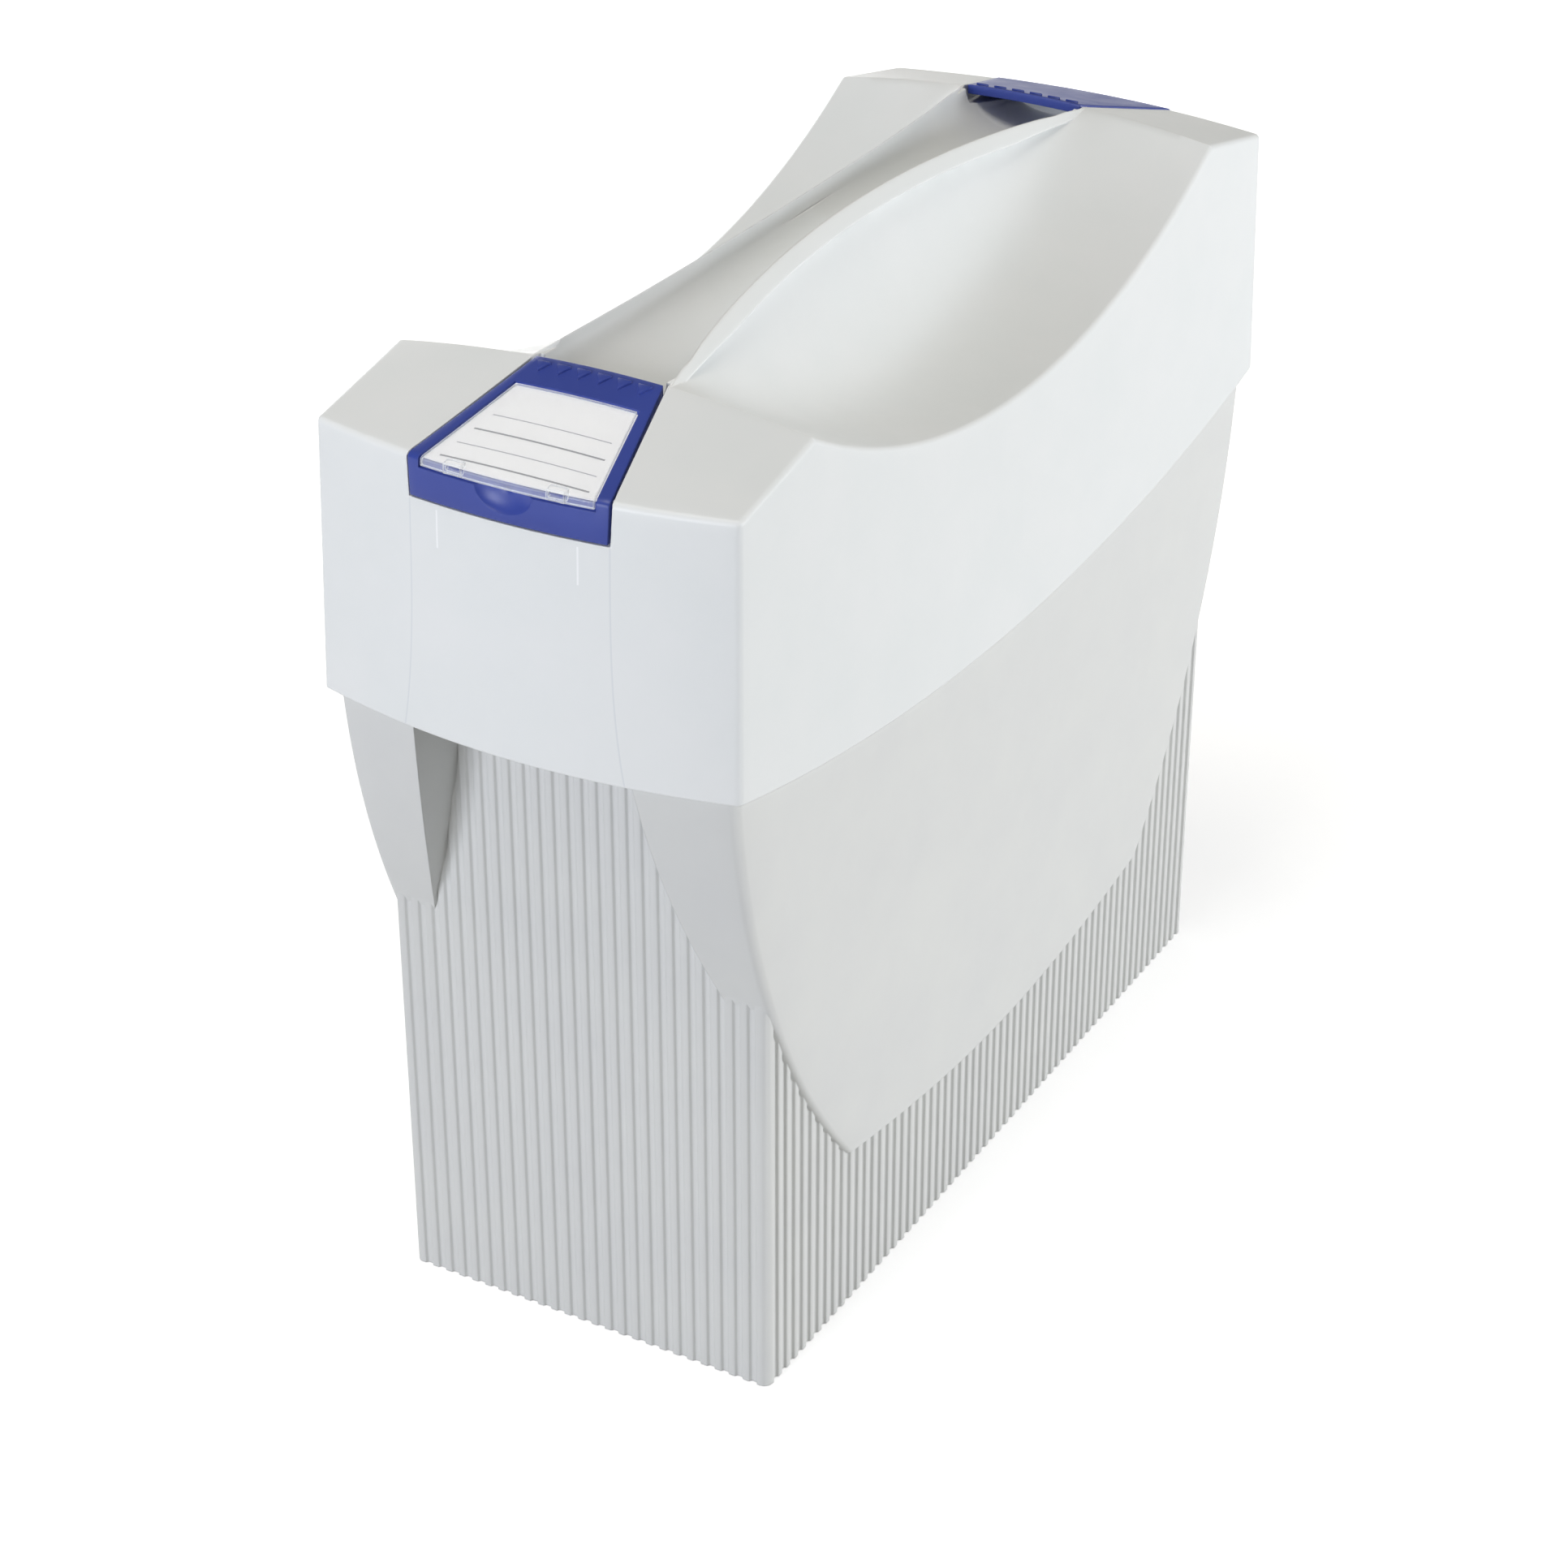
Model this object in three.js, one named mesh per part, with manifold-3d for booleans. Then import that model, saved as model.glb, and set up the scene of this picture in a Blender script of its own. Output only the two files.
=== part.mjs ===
// Hanging file box: a ribbed tub with a smooth flared collar, a hood lid with a moulded carrying handle,
// two press latches over the lid's ends, and a paper label under a hinged clear flap on the front latch.
// Millimetres, +Z up. The origin is the centre of the tub's underside, and the front end faces -X.
import * as THREE from 'three';
import { mergeVertices } from 'three/addons/utils/BufferGeometryUtils.js';
import Module from 'manifold-3d';

const wasm = await Module();
wasm.setup();

// Tub: the ribbed box
const tubLength = 325;
const tubWidth = 139.6;
const tubHeight = 250;
const tubWall = 2;
const floorThickness = 2.6;
const tubCornerRadius = 3;
const ribPitch = 5.3;
const ribDepth = 0.9;
const railHeight = 12; // the end walls stand above the rim by this, and the files hang on them

// Tub: the smooth collar round its upper part. Each drop is a distance below the tub's rim.
const collarProud = 1.4; // beyond the ribs on the long sides
const collarTopReach = 18.5; // beyond the tub's ends at the rim's corners
const collarWall = 2.3;
const collarCornerRadius = 3;
const collarFootDrop = 102; // where the collar's outline crosses the tub's ends
const collarTipInset = 51.3; // lowest corners of the side panels, in from the tub's ends
const collarTipDrop = 188;
const collarBottomDrop = 199.3; // lowest point of the side panels, mid-length
const deckThickness = 3; // the deck over each hand hold
const holdTopHalfWidth = 38.8; // hand hold between the collar's corner claws
const holdMidHalfWidth = 44.5;
const holdMidDrop = 60;
const holdFootHalfWidth = 53;
const holdFootDrop = 100;

// Lid. Each rise is a height above the tub's rim.
const lidClearance = 0.5; // round the collar, at the rim's height
const lidWall = 2.4;
const lidCornerRadius = 3;
const endBow = 10.3; // the ends bulge by this at mid-width
const endDraft = 0.04; // how much the ends lean in for each millimetre up
const sideDraft = 0.0156;
const rimCornerDrop = 17.4; // lower edge at the corners
const rimMidDrop = 38.5; // lower edge at the middle of the long sides
const foldRise = 72.1; // upper edge of the end faces
const ridgeInset = 23.7; // inner edge of the end blocks, in from the tub's ends
const ridgeSideRise = 81.1;
const ridgeCrownRise = 87.1;
const valleyRise = 44.4; // lowest point of the long sides' upper edge
const seatGap = 0.3; // between the lid's seat ribs and the tub's rim
const seatRibThickness = 2;
const seatRibDepth = 5;
const seatRibHeight = 30;
const sideSeatInset = 52.5; // outer seat ribs on the long sides, in from the tub's ends
const endSeatInset = 11.8; // seat ribs on the ends, in from the tub's sides

// Handle: two rails with a trough between them
const railEndY = 24.6; // rail centres at the ridges
const railWaistY = 9.5; // rail centres at mid-length
const railEndRise = 86.4;
const railCrestRise = 95;
const railEndRadius = 2;
const railRadius = 4.3;
const flarePower = 4.5; // how tightly the valley floor turns up under the rails
const troughEndDepth = 17;
const troughMidDepth = 10.5;
const troughPocketReach = 24.2; // the trough runs on under the latches, past the ridges
const troughPocketHalfWidth = 20.6;

// Latches
const latchInnerHalfWidth = 22;
const latchFoldHalfWidth = 34.6;
const latchHemHalfWidth = 34;
const latchHemDrop = 12.7; // below the fold
const latchPlate = 3.4;
const latchSkirt = 2.6;
const latchProud = 0.4; // above the lid's surface
const latchGap = 0.4; // round the latch in its recess
const latchPress = 5; // degrees of travel
const latchPivotReach = 33.2; // past the ridge
const latchPivotDrop = 6.1; // below the fold
const latchPinRadius = 2;
const latchPinGap = 0.35;
const cheekThickness = 2;
const cheekY = 20; // middle of each cheek
const cheekHalfLength = 5.5;
const guideRibThickness = 2.4;
const guideRibGap = 0.8; // between a cheek and its guide rib
const guideRibDrop = 12; // below the pivot
const guideRibTopDrop = 4; // below the ridge
const armHalfWidth = 11;
const armThickness = 2.2;
const armReach = 41.2; // past the ridge, to the middle of the arm that reaches down to the tub
const armFootDrop = 7; // below the tub's rim
const noseReach = 1.2;
const noseHeight = 3;
const noseTipHeight = 1.8;
const catchGap = 0.3; // between the latch nose and the edge of the deck
const catchSideGap = 2;

// Grip marks on the latches
const markCount = 6;
const markPitch = 7;
const markReach = 4.4; // past the ridge
const markSize = 2.3;
const markRise = 0.35;

// Label: card and clear flap in the front latch
const windowReach = 12.7; // past the ridge, to the window's inner edge
const windowInnerHalfWidth = 21.6;
const windowFoldHalfWidth = 30.4;
const windowDepth = 2;
const windowHemDrop = 3.9; // the flap's lip reaches down to this below the fold
const cardThickness = 0.4;
const flapThickness = 1;
const labelGap = 0.3;
const tabY = 17.5;
const tabWidth = 6;
const tabRise = 0.5;
const tabLength = 4;
const scoopHalfWidth = 10;
const scoopHalfHeight = 8;
const scoopDepth = 1.5;

// Sizes that follow from the ones above
const tubHalfX = tubLength / 2;
const tubHalfY = tubWidth / 2;
const cavityHalfX = tubHalfX - ribDepth - tubWall;
const cavityHalfY = tubHalfY - ribDepth - tubWall;
const endWallOuterX = tubHalfX - ribDepth;
const collarHalfY = tubHalfY + collarProud;
const collarHalfX = tubHalfX + collarTopReach;
const collarFootZ = tubHeight - collarFootDrop;
const collarTipX = tubHalfX - collarTipInset;
const collarTipZ = tubHeight - collarTipDrop;
const collarBottomZ = tubHeight - collarBottomDrop;
const holdMidZ = tubHeight - holdMidDrop;
const holdFootZ = tubHeight - holdFootDrop;
const deckZ = tubHeight - deckThickness;
const rimCornerZ = tubHeight - rimCornerDrop;
const rimMidZ = tubHeight - rimMidDrop;
const foldZ = tubHeight + foldRise;
const ridgeX = tubHalfX - ridgeInset;
const ridgeSideZ = tubHeight + ridgeSideRise;
const ridgeCrownZ = tubHeight + ridgeCrownRise;
const valleyZ = tubHeight + valleyRise;
const rimHalfX = collarHalfX + lidClearance + lidWall + endDraft * rimCornerDrop;
const rimHalfY = collarHalfY + lidClearance + lidWall + sideDraft * rimCornerDrop;
const railEndZ = tubHeight + railEndRise;
const railCrestZ = tubHeight + railCrestRise;
const troughPocketX = ridgeX + troughPocketReach;
const latchHemZ = foldZ - latchHemDrop;
const latchPivotX = ridgeX + latchPivotReach;
const latchPivotZ = foldZ - latchPivotDrop;
const armX = ridgeX + armReach;
const armFootZ = tubHeight - armFootDrop;
const markX = ridgeX + markReach;
const windowX = ridgeX + windowReach;
const windowHemZ = foldZ - windowHemDrop;

// Working lengths that leave no trace of their own
const overlap = 1; // pieces that are joined run this far into each other
const clearOf = 12; // cutters run this far past the surface they cut
const highAbove = railCrestZ + 5 * clearOf;
const farOut = rimHalfX + endBow + clearOf;

// Solids from three.js geometries

function toSolid(geometry) {
  const bare = geometry.clone();
  bare.deleteAttribute('normal');
  bare.deleteAttribute('uv');
  const merged = mergeVertices(bare, 1e-4);
  const points = merged.getAttribute('position');
  const triangles = [];
  let volume = 0;
  const [a, b, c] = [new THREE.Vector3(), new THREE.Vector3(), new THREE.Vector3()];
  for (let i = 0; i < merged.index.count; i += 3) {
    const corners = [0, 1, 2].map((k) => merged.index.getX(i + k));
    if (new Set(corners).size < 3) continue;
    a.fromBufferAttribute(points, corners[0]);
    b.fromBufferAttribute(points, corners[1]);
    c.fromBufferAttribute(points, corners[2]);
    volume += a.dot(b.cross(c));
    triangles.push(corners);
  }
  const facingOut = volume > 0 ? triangles : triangles.map(([p, q, r]) => [p, r, q]);
  return new wasm.Manifold(new wasm.Mesh({
    numProp: 3,
    vertProperties: new Float32Array(points.array),
    triVerts: new Uint32Array(facingOut.flat()),
  }));
}

function toGeometry(solid) {
  const mesh = solid.getMesh();
  const geometry = new THREE.BufferGeometry();
  geometry.setAttribute('position', new THREE.BufferAttribute(new Float32Array(mesh.vertProperties), 3));
  geometry.setIndex(new THREE.BufferAttribute(new Uint32Array(mesh.triVerts), 1));
  const flat = geometry.toNonIndexed();
  flat.computeVertexNormals();
  return flat;
}

function box(x0, x1, y0, y1, z0, z1) {
  const geometry = new THREE.BoxGeometry(Math.abs(x1 - x0), Math.abs(y1 - y0), Math.abs(z1 - z0));
  geometry.translate((x0 + x1) / 2, (y0 + y1) / 2, (z0 + z1) / 2);
  return toSolid(geometry);
}

// A box whose grid lines lie at the given stations, with every point then moved by place(a, b, c)
function shapedBox(stationsA, stationsB, stationsC, place) {
  const lists = [stationsA, stationsB, stationsC];
  const segments = lists.map((list) => list.length - 1);
  const geometry = new THREE.BoxGeometry(1, 1, 1, ...segments);
  const points = geometry.getAttribute('position');
  for (let i = 0; i < points.count; i += 1) {
    const raw = [points.getX(i), points.getY(i), points.getZ(i)];
    const [p, q, r] = raw.map((value, axis) => lists[axis][Math.round((value + 0.5) * segments[axis])]);
    points.setXYZ(i, ...place(p, q, r));
  }
  return toSolid(geometry);
}

// A prism along X from an outline drawn in Y and Z
function prismAlongX(shape, x0, x1) {
  const geometry = new THREE.ExtrudeGeometry(shape, { depth: x1 - x0, bevelEnabled: false });
  const axes = new THREE.Matrix4().makeBasis(
    new THREE.Vector3(0, 1, 0),
    new THREE.Vector3(0, 0, 1),
    new THREE.Vector3(1, 0, 0),
  );
  geometry.applyMatrix4(axes);
  geometry.translate(x0, 0, 0);
  return toSolid(geometry);
}

function pinAlongY(radius, x, z, y0, y1, sides) {
  const geometry = new THREE.CylinderGeometry(radius, radius, Math.abs(y1 - y0), sides);
  geometry.translate(x, (y0 + y1) / 2, z);
  return toSolid(geometry);
}

const mix = (from, to, share) => from + (to - from) * share;
const clamp = (value, low, high) => Math.min(Math.max(value, low), high);
const evenSteps = (from, to, count) => Array.from({ length: count + 1 }, (_, i) => mix(from, to, i / count));
const mirrored = (half) => [...half.slice(1).reverse().map((value) => -value), ...half];

// Distances from mid-width at which the points of a rounded corner lie
function cornerStations(halfWidth, radius) {
  const angles = [0, Math.PI / 6, Math.PI / 3, Math.PI / 2];
  return angles.map((angle) => halfWidth - radius + radius * Math.sin(angle));
}

function circleThrough([ax, ay], [bx, by], [cx, cy]) {
  const d = 2 * (ax * (by - cy) + bx * (cy - ay) + cx * (ay - by));
  const [a, b, c] = [ax * ax + ay * ay, bx * bx + by * by, cx * cx + cy * cy];
  const x = (a * (by - cy) + b * (cy - ay) + c * (ay - by)) / d;
  const y = (a * (cx - bx) + b * (ax - cx) + c * (bx - ax)) / d;
  return { x, y, radius: Math.hypot(ax - x, ay - y) };
}

// Tub

// One side of the ribbed outline, from one corner round to the next, as [distance along, distance in]
function ribbedSide(length) {
  const run = length - 2 * tubCornerRadius;
  const grooves = Math.max(1, Math.round(run / ribPitch));
  const pitch = run / grooves;
  const side = [[-run / 2, 0]];
  for (let i = 0; i < grooves; i += 1) {
    const middle = -run / 2 + (i + 0.5) * pitch;
    side.push([middle - 0.3 * pitch, 0], [middle, ribDepth], [middle + 0.3 * pitch, 0]);
  }
  side.push([run / 2, 0]);
  return side;
}

function ribbedOutline() {
  const outline = [];
  const sides = [[tubLength, tubHalfY], [tubWidth, tubHalfX], [tubLength, tubHalfY], [tubWidth, tubHalfX]];
  const cornerSteps = 3;
  sides.forEach(([length, distance], turn) => {
    const angle = (turn * Math.PI) / 2;
    const place = (along, out) => outline.push(
      new THREE.Vector2(along, -out).rotateAround(new THREE.Vector2(0, 0), angle),
    );
    ribbedSide(length).forEach(([along, inward]) => place(along, distance - inward));
    const [centreAlong, centreOut] = [length / 2 - tubCornerRadius, distance - tubCornerRadius];
    for (let i = 1; i < cornerSteps; i += 1) {
      const bend = (i / cornerSteps) * (Math.PI / 2);
      place(centreAlong + tubCornerRadius * Math.sin(bend), centreOut + tubCornerRadius * Math.cos(bend));
    }
  });
  return new THREE.Shape(outline);
}

const collarArc = circleThrough(
  [collarHalfX, rimCornerZ],
  [tubHalfX, collarFootZ],
  [collarTipX, collarTipZ],
);
const holdArc = circleThrough(
  [holdTopHalfWidth, rimCornerZ],
  [holdMidHalfWidth, holdMidZ],
  [holdFootHalfWidth, holdFootZ],
);

// Half-length of the collar's side outline at a height
function collarReach(z) {
  const rise = clamp(z - collarArc.y, -collarArc.radius, collarArc.radius);
  return Math.min(collarArc.x + Math.sqrt(collarArc.radius ** 2 - rise ** 2), collarHalfX);
}

// The bulge of the ends in plan
const bow = (y) => endBow * (1 - (y / rimHalfY) ** 2);

// How far a rounded corner draws back from the square one at y
function cornerInset(y, halfWidth, radius) {
  const past = clamp(Math.abs(y) - (halfWidth - radius), 0, radius);
  return radius - Math.sqrt(radius ** 2 - past ** 2);
}

function collar(inset, topZ) {
  const halfY = collarHalfY - inset;
  const radius = Math.max(collarCornerRadius - inset, 0.5);
  const across = mirrored([...evenSteps(0, halfY - radius, 5).slice(0, -1), ...cornerStations(halfY, radius)]);
  const along = mirrored(evenSteps(0, 1, 4));
  const up = evenSteps(0, 1, 11);
  return shapedBox(along, across, up, (share, y, height) => {
    const bottom = mix(collarBottomZ, collarTipZ, share * share) + inset;
    const z = mix(bottom, topZ, height);
    const swell = clamp((z - collarFootZ) / (rimCornerZ - collarFootZ), 0, 1);
    const end = collarReach(z) - inset + bow(y) * swell - cornerInset(y, halfY, radius);
    return [share * end, y, z];
  });
}

// Half-width of the hand hold at a height
function holdHalfWidth(z) {
  const rise = clamp(z - holdArc.y, -holdArc.radius, holdArc.radius);
  const side = Math.sign(holdMidHalfWidth - holdArc.x);
  return holdArc.x + side * Math.sqrt(holdArc.radius ** 2 - rise ** 2);
}

// The hand hold's outline as a prism through the collar at both ends
function handHold(inset, topZ) {
  const heights = evenSteps(topZ, holdFootZ - 2 * clearOf, 9);
  const right = heights.map((z) => new THREE.Vector2(holdHalfWidth(Math.min(z, deckZ)) + inset, z));
  const left = right.slice().reverse().map((point) => new THREE.Vector2(-point.x, point.y));
  const outline = new THREE.Shape([...right, ...left]);
  return prismAlongX(outline, cavityHalfX, farOut).add(prismAlongX(outline, -farOut, -cavityHalfX));
}

function makeTub() {
  const ribbedForm = new THREE.ExtrudeGeometry(ribbedOutline(), { depth: tubHeight, bevelEnabled: false });
  const ribbed = toSolid(ribbedForm);
  const shell = ribbed.add(collar(0, tubHeight).subtract(handHold(0, deckZ)));

  const hollow = collar(collarWall, tubHeight + overlap);
  const inside = box(-cavityHalfX, cavityHalfX, -farOut, farOut, 0, highAbove);
  const outside = box(-endWallOuterX, endWallOuterX, -farOut, farOut, 0, highAbove);
  const cavity = box(-cavityHalfX, cavityHalfX, -cavityHalfY, cavityHalfY, floorThickness, highAbove)
    .add(hollow.intersect(inside));
  const pockets = hollow.subtract(outside).subtract(handHold(collarWall, tubHeight + overlap));

  const catchEdgeX = armX - armThickness / 2 - noseReach - catchGap;
  const catchHalfWidth = armHalfWidth + catchSideGap;
  let tub = shell.subtract(cavity).subtract(pockets);
  for (const end of [-1, 1]) {
    const railTop = tubHeight + railHeight;
    tub = tub.add(box(end * cavityHalfX, end * endWallOuterX, -cavityHalfY, cavityHalfY, deckZ, railTop));
    const [notchX, notchZ] = [end * catchEdgeX, deckZ - overlap];
    tub = tub.subtract(box(notchX, end * farOut, -catchHalfWidth, catchHalfWidth, notchZ, highAbove));
  }
  return tub;
}

// Lid

// The lid's plan at the corners' lower edge, drawn in by an inset
function lidPlan(inset) {
  const halfX = rimHalfX - inset;
  const halfY = rimHalfY - inset;
  const radius = Math.max(lidCornerRadius - inset, 0.6);
  const quarter = [...evenSteps(0, halfY - radius, 6).slice(0, -1), ...cornerStations(halfY, radius)]
    .map((y) => [halfX + bow(y) - cornerInset(y, halfY, radius), y]);
  const upper = quarter.map(([x, y]) => new THREE.Vector2(x, y));
  const rightEnd = [...upper.slice(1).reverse().map((p) => new THREE.Vector2(p.x, -p.y)), ...upper];
  return new THREE.Shape([...rightEnd, ...rightEnd.map((p) => new THREE.Vector2(-p.x, -p.y))]);
}

function lidWalls(inset) {
  const [low, high] = [rimMidZ - 2 * clearOf, railCrestZ + clearOf];
  const geometry = new THREE.ExtrudeGeometry(lidPlan(inset), { depth: high - low, bevelEnabled: false });
  const points = geometry.getAttribute('position');
  for (let i = 0; i < points.count; i += 1) {
    const z = low + points.getZ(i);
    const rise = z - rimCornerZ;
    const x = points.getX(i) * (1 - (endDraft * rise) / rimHalfX);
    points.setXYZ(i, x, points.getY(i) * (1 - (sideDraft * rise) / rimHalfY), z);
  }
  return toSolid(geometry);
}

const rimHeight = (x) => mix(rimMidZ, rimCornerZ, Math.min((x / rimHalfX) ** 2, 1));
const sideHalfWidth = (z) => rimHalfY - sideDraft * (z - rimCornerZ);
const foldX = (y) => rimHalfX + bow(y) - endDraft * (foldZ - rimCornerZ);
const ridgeHalfWidth = sideHalfWidth(ridgeSideZ);
const ridgeHeight = (y) => mix(ridgeCrownZ, ridgeSideZ, (y / ridgeHalfWidth) ** 2);

// Height of an end block's sloping top
function blockHeight(x, y) {
  return mix(ridgeHeight(y), foldZ, (Math.abs(x) - ridgeX) / (foldX(y) - ridgeX));
}

// The valley's upper edge is an arc between the ridges; its depth below them as a share of the deepest
function valleyShare(x) {
  const depth = ridgeSideZ - valleyZ;
  const radius = (ridgeX ** 2 + depth ** 2) / (2 * depth);
  const reach = Math.min(Math.abs(x), ridgeX);
  return 1 - (radius - Math.sqrt(radius ** 2 - reach ** 2)) / depth;
}

// The rails' centre line: its distance from mid-width, the height of its top and its radius
function rail(x) {
  const share = clamp(1 - (x / ridgeX) ** 2, 0, 1);
  return {
    y: mix(railEndY, railWaistY, share),
    z: mix(railEndZ, railCrestZ, share),
    radius: mix(railEndRadius, railRadius, Math.min(1, 4 * share)),
  };
}

function topHeight(x, y) {
  if (Math.abs(x) >= ridgeX) return blockHeight(x, y);
  const { y: railY, z: railZ, radius } = rail(x);
  const share = valleyShare(x);
  const floor = ridgeHeight(y) - (ridgeHeight(y) - valleyZ) * share;
  const root = mix(ridgeHeight(railY), railZ - 1.7 * radius, Math.min(1, 3 * share));
  const across = clamp((Math.abs(y) - railY) / (ridgeHalfWidth - railY), 0, 1);
  return mix(floor, root, (1 - across) ** flarePower);
}

// A solid between two height functions, with its grid lines gathered beside the rails
function heightSolid(top, bottom) {
  const shares = [0, 0.04, 0.1, 0.18, 0.3, 0.5, 1];
  const across = mirrored([-1, ...shares].map((share) => share + 1));
  const along = mirrored([...evenSteps(0, ridgeX, 8), rimHalfX + 2 * endBow]);
  const margin = rimHalfY + clearOf / 2;
  return shapedBox(along, across, [0, 1], (x, share, height) => {
    const railY = rail(x).y;
    const y = Math.sign(share) * mix(railY, margin, Math.abs(share) - 1);
    const placedY = Math.abs(share) < 1 ? share * railY : y;
    return [x, placedY, mix(bottom(x, placedY), top(x, placedY), height)];
  });
}

function railSolid(side) {
  const sides = 8;
  const steps = 16;
  const geometry = new THREE.CylinderGeometry(1, 1, 1, sides, steps);
  const points = geometry.getAttribute('position');
  for (let i = 0; i < points.count; i += 1) {
    const x = points.getY(i) * 2 * (ridgeX + overlap);
    const { y, z, radius } = rail(x);
    points.setXYZ(i, x, side * y + points.getX(i) * radius, z - radius + points.getZ(i) * radius);
  }
  return toSolid(geometry);
}

// Everything above the trough's round floor, grown outwards by an inset
function troughSolid(grow, pocketX) {
  const along = mirrored([...evenSteps(0, ridgeX, 8), ridgeX + 0.01, pocketX]);
  const across = mirrored([0, 0.45, 0.8, 0.96, 1]);
  return shapedBox(along, across, [0, 1], (x, share, height) => {
    const { y, z, radius } = rail(x);
    const half = (Math.abs(x) > ridgeX ? troughPocketHalfWidth : y) + grow;
    const depth = mix(troughEndDepth, troughMidDepth, clamp(1 - Math.abs(x) / ridgeX, 0, 1)) + grow;
    const floor = z - radius - depth * Math.sqrt(1 - share * share);
    return [x, share * half, mix(floor, highAbove, height)];
  });
}

// A latch-shaped solid over one end: a sloping plate that folds down over the end face. start is how far its
// inner edge is from the middle, rise its height over the lid, and depth and skirt its thicknesses.
function latchSolid(end, { start, innerHalf, foldHalf, hemHalf, hemZ, rise, depth, skirt }) {
  const plateSteps = [0, 0.33, 0.66, 0.965];
  const [fold, hem] = [2, 3];
  const edgeSoftening = 1.4; // the fold's outer corner is broken by this
  return shapedBox([...plateSteps, fold, hem], evenSteps(-1, 1, 6), [0, 1], (station, side, outer) => {
    const inward = 1 - outer;
    if (station < fold) {
      const y = side * mix(innerHalf, foldHalf, station);
      const x = Math.min(mix(start, foldX(y), station), foldX(y) + rise - inward * skirt);
      return [end * x, y, blockHeight(x, y) + rise - inward * depth(x)];
    }
    const y = side * (station === fold ? foldHalf : hemHalf);
    const outerZ = station === fold ? foldZ + rise - edgeSoftening : hemZ;
    const innerZ = station === fold ? foldZ + rise - depth(foldX(y)) : hemZ;
    const x = foldX(y) + endDraft * (foldZ - outerZ) + rise - inward * skirt;
    return [end * x, y, outer ? outerZ : innerZ];
  });
}

const latchSlope = (foldZ - ridgeCrownZ) / (foldX(0) - ridgeX);
const pressTravel = (x) => Math.max(0, latchPivotX - x) * Math.tan((latchPress * Math.PI) / 180);

function latchForm(grow, rise, depth, skirt) {
  return {
    start: ridgeX + latchGap - 2 * grow,
    innerHalf: latchInnerHalfWidth + grow,
    foldHalf: latchFoldHalfWidth + grow,
    hemHalf: latchHemHalfWidth + grow,
    hemZ: latchHemZ - grow,
    rise,
    depth,
    skirt,
  };
}

const recessDepth = (x) => latchPlate - latchProud + latchGap + pressTravel(x);
const recessSkirt = latchSkirt - latchProud + latchGap;
const guideY = cheekY + cheekThickness / 2 + guideRibGap + guideRibThickness / 2;

function latchHousing(end) {
  const form = latchForm(lidWall, 0, (x) => recessDepth(x) + lidWall, recessSkirt + lidWall);
  form.start = ridgeX;
  let housing = latchSolid(end, form);
  const innerX = troughPocketX;
  const outerX = rimHalfX + endBow;
  for (const side of [-1, 1]) {
    const [near, far] = [guideY - guideRibThickness / 2, guideY + guideRibThickness / 2];
    const [lowZ, highZ] = [latchPivotZ - guideRibDrop, ridgeSideZ - guideRibTopDrop];
    housing = housing.add(box(end * innerX, end * outerX, side * near, side * far, lowZ, highZ));
  }
  return housing;
}

function latchRoom(end) {
  const room = latchForm(latchGap, clearOf, (x) => recessDepth(x) + clearOf, recessSkirt + clearOf);
  room.start = ridgeX - overlap;
  const shaftHalf = guideY - guideRibThickness / 2;
  const wellOuterX = foldX(0) - recessSkirt - lidWall - overlap;
  const wellInnerX = troughPocketX + lidWall;
  const well = box(end * wellInnerX, end * wellOuterX, -shaftHalf, shaftHalf, rimMidZ, ridgeCrownZ);
  const reach = guideY + guideRibThickness;
  const holes = pinAlongY(latchPinRadius + latchPinGap, end * latchPivotX, latchPivotZ, -reach, reach, 16);
  return latchSolid(end, room).add(well).add(holes);
}

function seatRibs() {
  const ribs = [];
  const low = tubHeight + seatGap;
  const high = low + seatRibHeight;
  const half = seatRibThickness / 2;
  const [sideSeatX, endSeatY] = [tubHalfX - sideSeatInset, tubHalfY - endSeatInset];
  for (const side of [-1, 1]) {
    const inner = collarHalfY - seatRibDepth + lidClearance;
    for (const x of [-sideSeatX, 0, sideSeatX]) {
      ribs.push(box(x - half, x + half, side * inner, side * rimHalfY, low, high));
    }
    for (const y of [-endSeatY, endSeatY]) {
      const innerX = collarHalfX - collarWall - overlap;
      ribs.push(box(side * innerX, side * farOut, y - half, y + half, low, high));
    }
  }
  return ribs;
}

function makeLid() {
  const outer = lidWalls(0).intersect(heightSolid(topHeight, rimHeight));
  const underside = (x, y) => Math.min(topHeight(x, Math.abs(y) + lidWall), topHeight(x, y) - lidWall);
  let hollow = lidWalls(lidWall).intersect(heightSolid(underside, (x) => rimHeight(x) - clearOf));
  hollow = hollow.subtract(troughSolid(lidWall, troughPocketX + lidWall));
  let lid = outer.subtract(hollow);
  for (const end of [-1, 1]) lid = lid.add(latchHousing(end).intersect(outer));
  for (const rib of seatRibs()) lid = lid.add(rib.intersect(outer));
  lid = lid.subtract(troughSolid(0, troughPocketX));
  for (const side of [-1, 1]) lid = lid.add(railSolid(side));
  for (const end of [-1, 1]) lid = lid.subtract(latchRoom(end));
  return lid;
}

// Latches

function latchMark(end, y) {
  const triangle = new THREE.CylinderGeometry(markSize, markSize, markRise + overlap, 3);
  triangle.rotateX(Math.PI / 2);
  triangle.rotateZ((end * Math.PI) / 2 + Math.PI / 2);
  triangle.rotateY(end * Math.atan(-latchSlope));
  const z = blockHeight(markX, y) + latchProud - (overlap - markRise) / 2;
  triangle.translate(end * markX, y, z);
  return toSolid(triangle);
}

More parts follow.
